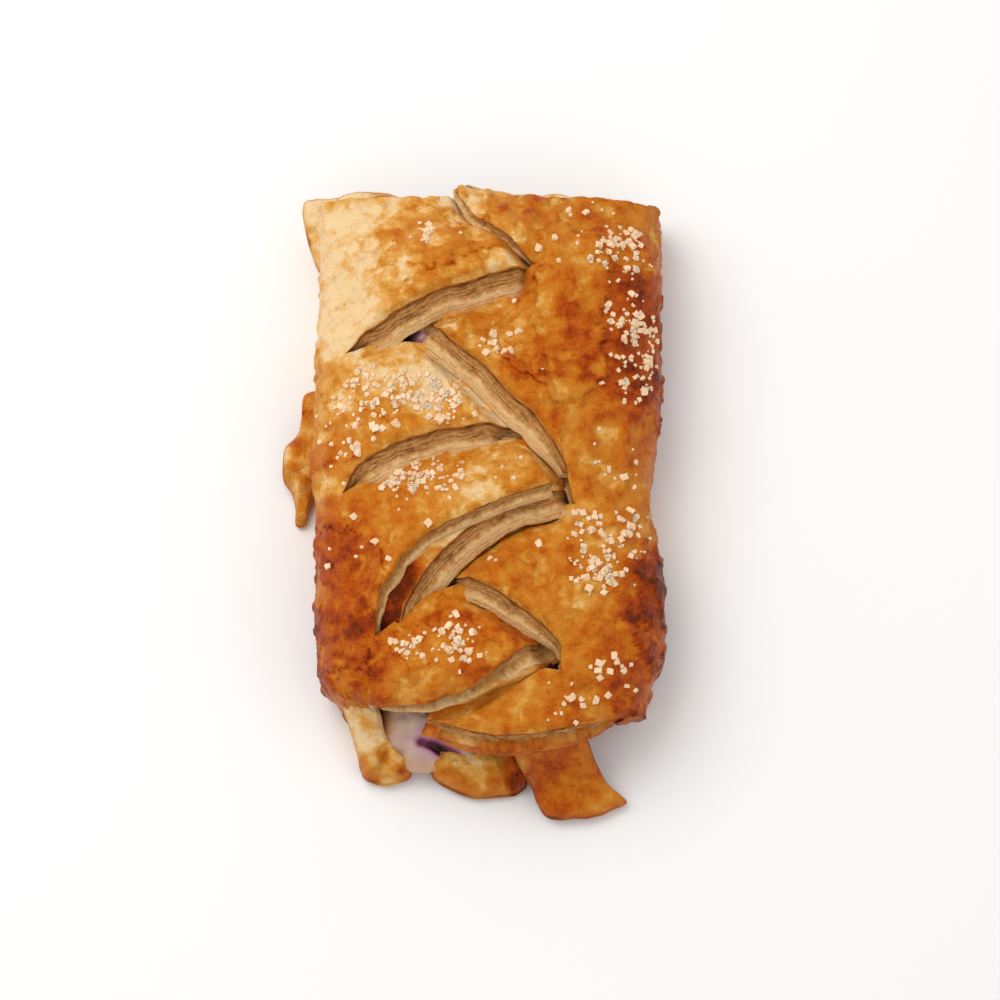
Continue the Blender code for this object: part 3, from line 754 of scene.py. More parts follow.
dough = baked_dough()
LEFT_STRIPS = {
    "left_1": {
        "back": cut_between((60.3, 58.8), (-18, 58.6), [(-5, 58.6), (6, 56), (12, 52)], lifts=False, end=True),
        "front": cut_between(26.5, (-27.5, 26.5), [(-23.7, 30), (-13, 36.6), (-2.5, 40.6), (8, 43.4), (13, 46)]),
        "tone": 0.3,
        "under": ("right_1",),
        # The spots at x = -34 on its left wall are browning darkened further as painted shade of the wall.
        "browned": [(-29, 48, 9, 0.04), (-26, 34, 9, 0.08), (-20, 56, 4, 0.1), (-13, 47, 7, 0.42),
                    (-4, 50, 7, 0.40), (2, 47, 6, 0.34), (-34, 40, 5, 0.3), (-11, 40, 4, 0.5),
                    (-34, 24, 6, 0.44), (-17, 38, 4, 0.3)],
    },
    "left_2": {
        "back": cut_between(26.5, (-27.5, 26.5), [(-20, 29), (-11, 28.5), (-4, 25.5), (5, 20)]),
        "front": cut_between(-1, (-28, -1), [(-24.6, 4.2), (-17, 8), (-7.3, 10.9), (2.3, 12.1), (8, 12)]),
        "tone": 0.3,
        "under": ("right_2",),
        "browned": [(-32, 23, 5, 0.45), (-34, 10, 6, 0.56), (-30, 15, 4, 0.26), (-24, 22, 7, 0.28),
                    (-14, 24, 7, 0.24), (-10, 17, 7, 0.26), (-17, 10, 4, 0.46), (-26, 5, 5, 0.56),
                    (-3, 18, 4, 0.16), (-6, 13, 3, 0.5), (-22, 12, 5, 0.36)],
    },
    "left_3": {
        "back": cut_between(-1, (-28, -1), [(-20, 3.5), (-11, 6.8), (0.4, 9.2), (8, 9.6), (17, 8)]),
        "front": cut_between(-30.5, (-21.2, -29.4), [(-21, -24.5), (-19, -19), (-15, -13.3), (-7.3, -7.8),
                                                     (2.3, -3.3), (11, -0.2), (17, 1.6)]),
        "tone": 0.45,
        "under": ("right_2",),
        "splay": (1.4, 2.4),
        "plies": 5,
        "foot": 0.05,
        "thickness": 2.9,
        "browned": [(-10, 2, 6, 0.48), (-17, -2, 6, 0.54), (0, 3, 6, 0.42), (-26, -4, 7, 0.66),
                    (-30, -14, 9, 0.84), (-25, -20, 8, 0.78), (-20, -14, 5, 0.6), (-31, -28, 8, 0.84),
                    (-33, 0, 6, 0.5), (-14, -8, 4, 0.5)],
    },
    "left_4": {
        "back": cut_between(-30.5, (-21.2, -29.4), [(-15, -24), (-9, -20), (-2, -19), (7, -22.5)]),
        "front": cut_between((-45.6, -45.2, -43.5, -41, -40), (-20, -41.8), [(-11.2, -41.8), (-3.5, -39.2),
                                                                            (2.3, -35.2), (9, -30), (12, -28)],
                             end=True),
        "tone": 0.65,
        "under": ("right_3",),
        "splay": (1.4, 5.0),
        "plies": 3.5,
        "relief": 2.2,
        "foot": 0.45,
        "rim": 0.6,
        # The spots at its right end, near x = 0 to 4, are browning darkened further as painted shade.
        "browned": [(-24, -36, 8, 0.72), (-12, -38, 7, 0.56), (-20, -30, 4, 0.5), (-8, -31, 6, 0.58),
                    (0, -29, 6, 0.7), (-4, -24, 5, 0.66), (4, -27, 5, 0.74), (-30, -38, 6, 0.84),
                    (-2, -35, 4, 0.8)],
    },
}
RIGHT_STRIPS = {
    "right_1": {
        "back": cut_between((60.3, 58.6), (20, 58.6), [(8, 58.8), (0, 59.8), (-4.4, 61)], lifts=False, end=True),
        "front": cut_between(44, (9, 43.8), [(2.3, 50.6), (-2.6, 54), (-5.0, 57.5), (-5.6, 60.2)]),
        "tone": 0.45,
        "splay": (0.5, 0.9),
        "rise": 3.2,
        "thickness": 3.0,
        "clearance": 1.7,
        "plies": 4,
        "foot": 0.6,
        "back_splay": 1.0,
        "browned": [(4, 54, 5, 0.5), (-2, 58, 4, 0.34), (11, 55, 5, 0.52), (12, 46, 5, 0.64), (24, 50, 6, 0.7),
                    (31, 52, 6, 0.66), (20, 54, 5, 0.54), (6, 50, 3, 0.3)],
    },
    "right_2": {
        "back": cut_between(44, (9, 43.8), [(3, 41), (-4, 38.5), (-10.5, 37)]),
        "front": cut_between(-3.6, (16.7, -3.8), [(15.7, -0.8), (14.3, 5.0), (10.4, 11.6), (4.2, 17.7), (-3.5, 25.4),
                                                  (-8.8, 30.2), (-11.2, 34)], run=20),
        "tone": 0.55,
        "spread": 8.0,
        "under": ("left_1",),
        "browned": [(8, 34, 6, 0.66), (-2, 30, 4, 0.54), (1, 38, 4, 0.2), (-7, 33, 3, 0.2), (13, 25, 7, 0.84),
                    (3, 26, 6, 0.64), (19, 36, 7, 0.84), (30, 40, 6, 0.9), (28, 26, 8, 0.96), (32, 18, 6, 0.94),
                    (22, 14, 7, 0.66), (27, 8, 6, 0.58), (24, 0, 7, 0.54), (15, 14, 5, 0.5), (19, 3, 5, 0.42),
                    (31, 6, 4, 0.64)],
    },
    "right_3": {
        "back": cut_between(-3.6, (16.7, -3.8), [(11, -3.0), (3.3, -6.5), (-8, -13)]),
        "front": cut_between(-36, (13.8, -36.0), [(13.5, -30.9), (9, -26.1), (2.3, -21.1), (-5.0, -17.6),
                                                  (-10.5, -15.6)], run=14),
        "tone": 0.55,
        "spread": 7.0,
        "under": ("left_3", "loose_ply"),
        "splay": (3.4, 3.8),
        "browned": [(20, -6, 6, 0.46), (28, -6, 6, 0.52), (13, -6, 4, 0.2), (5, -8.5, 3, 0.26), (-1, -12, 3, 0.36),
                    (8, -8, 6, 0.62), (3, -14, 6, 0.6), (14, -16, 7, 0.64), (22, -16, 7, 0.54), (18, -28, 7, 0.6),
                    (29, -22, 7, 1.0), (32, -16, 5, 1.0), (26, -32, 6, 0.84), (13, -26, 4, 0.4)],
    },
    "right_4": {
        "back": cut_between(-36, (13.8, -36.0), [(8, -35.5), (1, -38.5), (-10, -41.5)]),
        "front": cut_between((-40.8, -41.5, -43, -43.2), (20, -44.8), [(10, -46.8), (2.3, -47.3), (-4.4, -46.2),
                                                                      (-11.4, -44.0)],
                             lifts=False, end=True),
        "tone": 0.6,
        "under": ("left_4",),
        "splay": (2.6, 3.3),
        "plies": 3.5,
        "relief": 2.0,
        "foot": 0.78,
        "rim": 0.5,
        "browned": [(10, -41, 6, 0.52), (20, -40, 6, 0.66), (26, -38, 5, 0.8), (0, -44, 6, 0.5),
                    (14, -45, 5, 0.7), (28, -42, 5, 0.86), (6, -37, 3, 0.2)],
    },
}
FLAKES = [
    ([(-18, 55.4), (-21.8, 51), (-17.4, 48), (-20.4, 44), (-14, 42.2), (-6, 43.6), (3, 46.6), (2, 51), (-3, 54.4),
      (-9, 56.4)], 0.4, 0.1),
    ([(-36, 20), (-26, 17), (-20, 12), (-24, 6), (-36, 4)], 0.25, 0.06),
    ([(-36, -6), (-26, -8), (-20, -12), (-18, -20), (-22, -29), (-22, -36), (-36, -34)], 0.3, 0.06),
    ([(9, 50), (14, 52), (21.8, 49), (22.7, 38), (21.6, 30), (22.6, 24), (19, 17), (13, 16), (5, 23), (0, 30),
      (6, 36), (11, 42)], 0.85, -0.06),
    ([(30, -10), (27.5, -16), (29, -22), (26.5, -30), (32, -34), (38, -20)], 0.3, 0.08),
    ([(-18, -31), (-14, -27), (-7, -30), (-8, -35), (-15, -37)], 0.25, -0.08),
]
COVERS = {
    **LEFT_STRIPS, **RIGHT_STRIPS,
    "loose_ply": {
        "back": cut_between(-30.5, (-24, -29), [(-22.5, -22), (-19, -14), (-9, -4), (2, 1), (9, 4), (15, 6)]),
        "front": cut_between(-30.5, (-17.6, -32), [(-16.8, -27), (-15, -21), (-11.2, -15.2), (-6.3, -10.5),
                                                   (2.3, -4.2), (10, -1.6), (16, 0.5)], run=1),
        "rise": -0.9,
        "thickness": 3.6,
    },
}
crusts = [comb("left_dough", -1, LEFT_STRIPS, dough), comb("right_dough", 1, RIGHT_STRIPS, dough)]


# Loose ply: the third left strip has split along its thickness. Its lower plies stay behind as a wide
# layered band that dips below the strip's thin upper lip.
PLY_ROWS = 110
PLY_SINK = -3.2
PLY_BACK_SPLAY = 0.5
PLY_LEAST_Z = 0.05
PLY_TONE = 0.4
PLY_BROWNED = [(-21, -24, 5, 1.25), (-18, -27, 4, 1.25), (-19, -20, 4.5, 1.2), (-16.5, -16.5, 3, 1.1),
               (-8, -8, 5, 0.3), (2, -1, 5, 0.3)]

ply = COVERS["loose_ply"]
b, f = (smooth_line([ply[edge]["root"], *ply[edge]["line"]], PLY_ROWS)[0] for edge in ("back", "front"))
f = f + outward(f, b) * (0.35 * lumps(on_plan(*f.T), 3.2, 33))[:, None]
v = np.linspace(0, 1, round(float(np.linalg.norm(f - b, axis=1).max()) / COLUMN_WIDTH) + 1)
x, y = between_lines(b, f, v)
lift = PLY_SINK + (ply["rise"] - PLY_SINK) * v + 0.6 * np.sin(math.pi * v)
lift = lift - 3.4 * smooth(1 - np.arange(PLY_ROWS) / 16)[:, None]
lift = pressed_down(lift, x, y, COVERS["right_2"])
ring, values, _ = dough_sections(
    np.stack([x, y, crust_height(x, y) + lift], axis=-1), skin_normal(crust_height, x, y),
    edge_look(outward(f, b), np.ones(PLY_ROWS), SPLAY),
    edge_look(outward(b, f), np.ones(PLY_ROWS), PLY_BACK_SPLAY),
    ply["thickness"], lambda points: browned(points, PLY_BROWNED, PLY_TONE))
ring[..., 2] = np.maximum(ring[..., 2], PLY_LEAST_Z)
ply_sheet = Sheet()
ply_sheet.add(ring, values, closed_faces(PLY_ROWS, ring.shape[1]))
loose_ply = ply_sheet.made("loose_ply", dough)
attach(loose_ply, "root")
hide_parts("pastry")
crusts.append(loose_ply)


# Loose edges: scraps of the same dough round the case, where the sheet's ends were pressed and curled:
# a ledge under the front, the curled edge and the lip there, the flap that hangs on the left side, and
# the folded edge at the back.
PAD_SPACING = 0.45
PAD_TOP_SHARES = 1 - (1 - np.linspace(0.04, 1.0, 20)) ** 1.3
PAD_EDGE_ROWS = 16
PAD_BASE_SHARES = np.linspace(0.98, 0.04, 8)
PAD_BASE_FINISH = (0.75, 0.0, 0.3, 0.0, 0.0)
PAD_PLIES = 4
PAD_ROUNDING = 1.8
PAD_SEED = 3.0


def pad(sheet, outline, low, high, spots, base_tone, cut_share, centre=None, crown=0.8, rough=1.0):
    """A lumpy slab of dough with the given outline, added to the sheet. low and high are heights over
    the plan, and cut_share says how clearly its edge shows plies, from 0 to 1."""
    knots = [Vector(p) for p in outline]
    line = []
    for i in range(len(knots)):
        a, b, c, d = (knots[(i + k - 1) % len(knots)] for k in range(4))
        line += curve_points(a, b, c, d, max(3, round((c - b).length / PAD_SPACING)))
    line = np.array(line)
    count = len(line)
    middle = np.array(centre) if centre else line.mean(axis=0)
    far = unit(line - middle)
    line = line + far * (0.3 * lumps(on_plan(*line.T), 2.4, 41))[:, None]
    spread = line - middle
    rings, values = [], []
    along = lengths_along(line)
    reaching = np.linalg.norm(spread, axis=1)
    for share in PAD_TOP_SHARES:
        x, y = (middle + spread * share).T
        points = np.stack([x, y, high(x, y)], axis=1)
        height, torn, small = blisters(points * np.array([1, 1, 0.2]))
        turned_over = np.clip(1 - (1 - share) * reaching / PAD_ROUNDING, 0, 1) ** 2
        points[:, 2] += 0.8 * rough * height + crown * (1 - share ** 2) - 1.0 * turned_over
        level = browned(points, spots, base_tone) + 0.10 * lumps(points, 2.2, 42)
        level = level + rough * (0.08 * (small - 0.4) - 0.15 * torn)
        rings.append(points)
        values.append(np.stack([level, np.zeros(count), 0.4 * rough * torn, x, y], axis=1))
    x, y = line.T
    top, bottom = rings[-1][:, 2], low(x, y)
    for k in range(1, PAD_EDGE_ROWS + 1):
        down = k / (PAD_EDGE_ROWS + 1)
        points = np.stack([x, y, top + (bottom - top) * down], axis=1)
        sheets, streak, fine, open_gap = fibres(along, np.full(count, down), PAD_PLIES, PAD_SEED)
        bulge = 0.45 * math.sin(math.pi * down) - 0.35 * smooth((down - 0.75) / 0.25)
        relief = 0.3 * sheets + 0.2 * streak + 0.1 * fine - 0.5 * open_gap * (1 - sheets) ** 1.5 - 0.2
        points[:, :2] += far * (bulge + cut_share * relief)[:, None]
        level = browned(points, spots, base_tone) + 0.10 + 0.16 * lumps(points, 2.5, 43)
        # Painted shade in the gaps between the edge's plies.
        gap = (1 - sheets) ** 1.6 * open_gap * cut_share
        rings.append(points)
        values.append(np.stack([level, np.full(count, cut_share), gap, along,
                                np.full(count, down * PAD_PLIES)], axis=1))
    for share in PAD_BASE_SHARES:
        x, y = (middle + spread * share).T
        rings.append(np.stack([x, y, low(x, y)], axis=1))
        values.append(np.tile(PAD_BASE_FINISH, (count, 1)))
    sheet.add(np.array(rings), np.array(values), closed_faces(len(rings), count))


def sloped(*points):
    """A height over y through (y, z) points, lowest y first."""
    ys, zs = zip(*points)
    return lambda x, y: np.interp(y, ys, zs)


scraps = Sheet()
pad(scraps, [(-24, -38), (-24.5, -44), (-22.6, -48), (-20.5, -51), (-14, -50.4), (-9, -50.8), (-4, -53),
             (3, -53.8), (6.4, -50), (12, -46), (22, -43), (22, -38)],
    sloped((-60, 0.0)), sloped((-54, 2.6), (-46, 3.4)), [], 0.55, 0.5, centre=(-4, -44))


def curl_height(x, y):
    """The curled edge at the front left, with a crease along it."""
    crease = np.exp(-((x - (-20.2 + 0.35 * (y + 50))) / 0.8) ** 2) * smooth((-46.5 - y) / 2)
    return np.interp(y, (-53, -50, -46, -42, -38), (3.8, 6.0, 9.0, 12.4, 15.0)) - 1.6 * crease


pad(scraps, [(-27.5, -38.5), (-26.4, -42.5), (-25.4, -45.5), (-24.6, -48.5), (-24.2, -50.6), (-23.3, -52.4),
             (-21, -53.2), (-17.6, -52.9), (-15.2, -51.8), (-15.6, -49.6), (-17.4, -47.6), (-19.4, -44.8),
             (-20.7, -41.0), (-23, -38)],
    sloped((-60, 0.3)), curl_height,
    [(-24, -50, 1.3, 0.7), (-22.6, -52.8, 1.3, 0.95), (-20.0, -48.6, 1.3, 0.7), (-16.4, -51.6, 1.2, 0.8),
     (-21.8, -51, 1.6, 0.24), (-18, -50.4, 1.4, 0.2), (-23, -46, 3.2, 0.05), (-25, -42, 3, 0.14)], 0.2, 0.25)


def lip_height(x, y):
    """The lip in the middle of the front, with a crease across it."""
    crease = np.exp(-((x - (1.6 - 0.44 * (y + 47.7))) / 0.75) ** 2)
    return np.interp(y, (-56, -53, -50, -46), (3.0, 4.6, 6.4, 7.2)) - 1.7 * crease


pad(scraps, [(-10.6, -49.4), (-9.9, -52.6), (-6.3, -54.7), (-1.5, -55.8), (3.3, -55.6), (6.2, -54.6),
             (7.0, -53), (6.2, -49.5), (4.6, -46.4), (-3.5, -46.6), (-8.5, -47.6)],
    sloped((-60, 0.3)), lip_height,
    [(-8, -52.6, 2.2, 0.7), (-4.5, -53.6, 1.8, 0.76), (0, -49.5, 3, 0.34), (-5, -49, 3, 0.28),
     (-2, -52, 2, 0.4), (1, -54.8, 2, 0.65), (5.6, -53.6, 1.8, 1.0), (4.0, -50.5, 1.2, 0.9)], 0.5, 0.5)


def flap_height(x, y):
    """The flap on the left side, which sinks towards the front."""
    return np.interp(y, (-3, 2, 6, 12, 20), (2.6, 3.4, 5.6, 7.6, 9.6)) + 0.08 * (x + 36)


pad(scraps, [(-31, 21), (-35.6, 22.2), (-36.4, 17.5), (-37.0, 14.6), (-38.9, 12.6), (-39.6, 10), (-39.5, 6.6),
             (-38.2, 4.6), (-37.5, 1.5), (-37.4, -1.8), (-35.6, -1.7), (-34.8, 1.2), (-33.6, 3.5), (-30.5, 4)],
    lambda x, y: np.maximum(flap_height(x, y) - 4.2, 0.3), flap_height,
    [(-37.0, 11.5, 1.3, 0.95), (-39.3, 10.4, 1.3, 0.1), (-38.0, 7, 1.4, 0.5), (-36.2, 8.6, 1.2, 0.3),
     (-35.4, 17, 1.4, 0.84), (-36.4, 1, 2.4, 0.44), (-37, 3.5, 1.4, 0.3), (-37.4, 12.8, 0.9, 0.95)],
    0.5, 0.2, centre=(-35.5, 8.5))
pad(scraps, [(-28.5, 59.5), (-31.5, 60.8), (-35.2, 60.6), (-36.2, 59), (-35.4, 54.8), (-34.4, 50.5),
             (-32.5, 46.5), (-28.5, 46.5)],
    sloped((46, 8.4), (60, 11.6)), sloped((46, 11.5), (60, 14.2)),
    [(-34.5, 57.5, 2, 0.02), (-34.8, 53.6, 1.5, 0.4), (-31, 58, 3, 0.05)], 0.16, 0.5)
pad(scraps, [(-29.0, 56), (-29.2, 59.4), (-27.6, 61.0), (-24, 61.4), (-20.6, 61.1), (-18.0, 60.2),
             (-17.6, 57), (-18.5, 55), (-28, 55)],
    sloped((55, 14.6), (62, 13.6)), sloped((55, 17.6), (62, 16.4)),
    [(-21, 60.4, 2, 0.55), (-26, 60.2, 2.5, 0.1), (-23, 58.6, 2, 0.3)], 0.2, 0.5)
pad(scraps, [(9.5, 57.0), (10.6, 59.6), (13, 60.2), (15.4, 59.6), (16.2, 57.0), (13, 56.0)],
    sloped((56, 16.6), (61, 16.0)), sloped((56, 19.0), (61, 17.8)), [], 0.1, 0.2, crown=0.5)
scraps_piece = scraps.made("dough_scraps", dough)
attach(scraps_piece, "root")
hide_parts("pastry")


# Hanging end: the last strip's end was never tucked in. It hangs out of the front and down to the
# table, smooth and evenly browned.
def hanging_height(x, y):
    """Its top, which falls off towards the front."""
    return 4.2 + 12.6 * (1 - smooth((-44 - y) / 13)) - 0.06 * (x - 14)


hanging = Sheet()
pad(hanging, [(4.0, -42), (3.6, -46.5), (5.6, -50.2), (7.6, -52.6), (9.0, -54.6), (9.8, -57.6), (11.6, -59.6),
              (15, -60.1), (20.4, -59.5), (24.0, -58.2), (25.9, -56.9), (25.4, -56.0), (22.0, -53.2),
              (19.6, -49.8), (18.3, -46.8), (17.6, -42)],
    lambda x, y: np.maximum(hanging_height(x, y) - 3.4, 0.15), hanging_height,
    [(11, -50, 4, 0.78), (16, -55, 4, 0.62), (10, -55, 3, 0.68), (22, -57, 2.5, 0.42), (14, -58.8, 1.5, 0.78),
     (12, -52.5, 2, 0.9), (17, -50, 3, 0.72), (7.5, -48.5, 2.5, 0.45), (6.4, -51.5, 1.2, 0.1)], 0.72, 0.12,
    centre=(13.5, -51.5), crown=0.4, rough=0.35)
hanging_end = hanging.made("hanging_end", dough)
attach(hanging_end, "root")
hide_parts("pastry")
crusts.append(hanging_end)


# Cream: a soft baked cheese cream under the strips, stained lavender where the fruit has bled. It
# bulges out of the front end with a purple slit in it, and shows as a thin rim at the back.
BASE_TOP = 4.7
CREAM_BACK = 61.2
CREAM_FRONT = -51.6
CREAM_FRONT_LINE = [(-20.6, -46.5), (-18.6, -48.4), (-17, -50.2), (-14.6, -51.8), (-11.5, -52.0),
                    (-8.5, -51.0), (-5.5, -50.4), (-3, -49.6)]
SLIT = [(-12.8, -46.6), (-10.4, -47.3), (-8.2, -48.4), (-6.0, -49.4)]
CREAM_MOUNDS = [(-12.5, 30.5, 4.0, 4.4)]


def mounds(x, y, places):
    """Height of round mounds, each (x, y, radius, height)."""
    return sum(high * np.exp(-((x - cx) ** 2 + (y - cy) ** 2) / (0.5 * radius ** 2))
               for cx, cy, radius, high in places)


def filling_limits(y):
    """Left and right limits of the cream at y."""
    left = 4.9 - reach(-1, y)
    right = reach(1, y) - 4.9
    to_front = smooth((-35 - y) / 6)
    drawn_in = 0.8 * smooth((y - BACK_Y) / 3)
    left = left + (-20.6 - left) * to_front + drawn_in
    right = right + (-3.0 - right) * smooth((-42 - y) / 5) - drawn_in
    return left, right


def filling_height(x, y):
    """Height of the filling's top under the strips. It runs down at both ends."""
    rundown = 2.6 * (smooth((-43 - y) / 5) + smooth((y - 54) / 7)) + 3.4 * smooth((-46.5 - y) / 5)
    return crust_height(x, y) - 8.6 - rundown


def filled(name, stations, across, limits, top, low, values, material, node, front=None):
    """A soft body between a top surface and a floor, round at its sides and ends. front is the front
    end's y over x, where it isn't straight."""
    y = np.linspace(*stations)[:, None]
    v = np.linspace(0, 1, across)[None]
    left, right = limits(y)
    x = left + (right - left) * v
    y = y + 0 * v
    ends = np.minimum((y - stations[0]) / 2.5, (stations[1] - y) / 2.5)
    closing = np.clip(1 - (1 - np.clip(ends, 0, 1)) ** 2, 0, 1) ** 0.5
    closing = closing * np.clip(1 - np.abs(2 * v - 1) ** 9, 0, 1) ** 0.5
    if front:
        y = y + (np.interp(x, *zip(*front)) - stations[0]) * smooth((stations[0] + 8 - y) / 8)
    floor = low(x, y)
    upper = floor + np.maximum(top(x, y) - floor, 0.3) * closing
    grid = np.stack([x, y, upper], axis=-1)
    lower = np.stack([x, y, floor - 0.02], axis=-1)
    rows = y.shape[0]
    faces = []
    for j in range(rows - 1):
        for k in range(across - 1):
            a = j * across + k
            faces.append((a, a + 1, a + across + 1, a + across))
            a += rows * across
            faces.append((a, a + across, a + across + 1, a + 1))
    border = ([(0, k) for k in range(across)] + [(j, across - 1) for j in range(1, rows)]
              + [(rows - 1, k) for k in range(across - 2, -1, -1)] + [(j, 0) for j in range(rows - 2, 0, -1)])
    for (j, k), (m, n) in zip(border, border[1:] + border[:1]):
        a, b = j * across + k, m * across + n
        faces.append((b, a, a + rows * across, b + rows * across))
    sheet = Sheet()
    shown = values(grid)
    sheet.add(np.stack([grid, lower]), np.stack([shown, shown]), faces)
    piece = sheet.made(name, material, merge=False)
    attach(piece, "root")
    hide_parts(node)
    return piece


def cream_top(x, y):
    """The cream's top, with the fruit's trough in it and the pleats and the slit of its front end."""
    points = on_plan(x, y)
    left, right = filling_limits(y)
    across = np.abs(x - (left + right) / 2) / ((right - left) / 2)
    raised = mounds(x, y, CREAM_MOUNDS)
    trough = 3.6 * smooth((0.62 - across) / 0.05) * smooth((y + 43) / 4) * (1 - smooth(raised / 1.6))
    slit = distance_to(SLIT, x, y)[0]
    lumpy = 0.9 * lumps(points, 5.0, 51) + 0.5 * lumps(points, 2.2, 52) + 0.18 * lumps(points, 0.9, 53)
    pleats = 0.9 * np.exp(-((x + 15.5 - 0.4 * (y + 46)) / 0.9) ** 2) * smooth((-43 - y) / 2)
    lips = 0.8 * np.exp(-(slit / 2.6) ** 2) - 2.4 * np.exp(-(slit / 0.8) ** 2)
    return filling_height(x, y) - trough + raised + lumpy - pleats + lips


def cream_values(grid):
    """The cream's fruit stain and toasting, each from 0 to 1."""
    x, y = grid[..., 0], grid[..., 1]
    slit, along, _ = distance_to(SLIT, x, y)
    stain = np.exp(-(slit / (0.7 + 0.4 * along)) ** 2) * (0.45 + 0.55 * smooth(along / 0.6))
    stain = stain + 0.26 * np.exp(-(slit / 2.4) ** 2)
    stain = stain + 0.12 * lumps(grid, 2.5, 54) + 0.08 * lumps(grid, 1.1, 56)
    toasted = smooth((-47.5 - y) / 3.0) * 0.5 + 0.45 * lumps(grid, 3.0, 55) + 0.6 * smooth((-16.5 - x) / 2.5)
    left, right = filling_limits(y)
    across = np.abs(x - (left + right) / 2) / ((right - left) / 2)
    stain = np.maximum(stain, 0.55 * smooth((0.70 - across) / 0.1) * smooth((y + 43) / 4))
    stain = stain - 0.2 * smooth(mounds(x, y, CREAM_MOUNDS) / 1.6)
    return np.stack([np.clip(stain, 0, 1), np.clip(toasted, 0, 1), np.zeros_like(x)], axis=-1)


def baked_cream():
    """Pale lavender cream. The browned attribute holds its fruit stain, and cut its toasting."""
    finish = Finish("baked_cream")
    stained = finish.coloured(
        finish.attribute("browned"),
        [(0.0, (200, 170, 150)), (0.25, (192, 148, 158)), (0.5, (160, 84, 122)), (0.75, (92, 24, 62)),
         (1.0, (44, 8, 26))])
    finish.fill(finish.surface["Base Color"],
                finish.mixed(finish.attribute("cut"), stained, linear(190, 142, 98)))
    finish.surface["Roughness"].default_value = 0.42
    finish.roughen(finish.noise(1200, 4, 0.5), 0.4, 0.0003)
    return finish.material


filled("cream", (CREAM_FRONT, CREAM_BACK, 300), 150, filling_limits, cream_top,
       lambda x, y: np.full_like(x, BASE_TOP), cream_values, baked_cream(), "cream_filling",
       CREAM_FRONT_LINE)


# Blueberries: whole cooked fruit in their own thick juice, in a trough along the cream. Each berry is a
# wrinkled ball that the baking has flattened, half sunk in the juice, and a few are pushed up between
# the strips.
JUICE_FRONT = -44.0
JUICE_BACK = 60.6
JUICE_DEPTH = 3.4
BALL_RINGS = 15
BALL_SIDES = 24
FLATTENED = 0.78
SUNK = 0.72
BERRY_RADIUS = (2.7, 3.8)
PUSHED_UP = [(11.0, -2.0, 3.0, 2.6), (10.4, -35.2, 3.0, 3.0), (14.8, -38.6, 3.4, 2.4), (-8.4, 28.6, 2.6, 2.4)]


def fruit_limits(y):
    """Left and right limits of the fruit at y."""
    left, right = filling_limits(y)
    middle, half = (left + right) / 2, (right - left) / 2 * 0.6
    return middle - half, middle + half


def juice_top(x, y):
    """The juice's lumpy top between the berries."""
    points = on_plan(x, y)
    return filling_height(x, y) - 1.0 + 0.6 * lumps(points, 3.4, 61) + 0.2 * lumps(points, 1.2, 62)


def cooked_fruit():
    """Glossy dark purple skin and juice, with redder patches."""
    finish = Finish("cooked_blueberry")
    finish.fill(finish.surface["Base Color"], finish.coloured(
        finish.noise(260, 4, 0.5),
        [(0.3, (24, 6, 20)), (0.5, (48, 10, 30)), (0.7, (98, 22, 52)), (0.85, (150, 52, 84))]))
    finish.surface["Roughness"].default_value = 0.2
    finish.surface["Coat Weight"].default_value = 0.5
    finish.surface["Coat Roughness"].default_value = 0.15
    return finish.material


cooked = cooked_fruit()
filled("fruit_juice", (JUICE_FRONT, JUICE_BACK, 240), 70, fruit_limits, juice_top,
       lambda x, y: filling_height(x, y) - JUICE_DEPTH, lambda grid: np.zeros((*grid.shape[:2], 3)), cooked,
       "blueberry_filling")
fruit = Sheet()
chance = random.Random(5)
u = np.linspace(0, math.pi, BALL_RINGS)[:, None]
w = np.linspace(0, 2 * math.pi, BALL_SIDES, endpoint=False)[None]
ball = np.stack([np.sin(u) * np.cos(w), np.sin(u) * np.sin(w), np.cos(u) + 0 * w], axis=-1)
ball_faces = ring_faces(BALL_RINGS, BALL_SIDES)
berry_places = [*PUSHED_UP]
row_y = -41.0
while row_y < 59:
    left, right = fruit_limits(np.array([row_y]))
    step = chance.uniform(6.4, 7.6)
    x_place = float(left[0]) + 3.2 + chance.uniform(0, 2)
    while x_place < float(right[0]) - 2.6:
        size = chance.uniform(*BERRY_RADIUS)
        berry_places.append((x_place, row_y + chance.uniform(-1.4, 1.4), size, 0.0))
        x_place += size + chance.uniform(2.4, 3.6)
    row_y += step
for x_place, y_place, size, raised in berry_places:
    middle = np.array([x_place, y_place, 0.0])
    top = float(filling_height(middle[:1], middle[1:2])[0])
    middle[2] = top + raised - size * SUNK
    shape = ball * size * np.array([1.0, 1.0, FLATTENED])
    wrinkles = 1 + 0.07 * lumps(shape + middle, 1.7, 63) + 0.04 * lumps(shape + middle, 0.8, 64)
    fruit.add(shape * wrinkles[..., None] + middle, np.zeros((BALL_RINGS, BALL_SIDES, 3)), ball_faces)
berries = fruit.made("blueberries", cooked)
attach(berries, "root")
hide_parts("blueberry_filling")


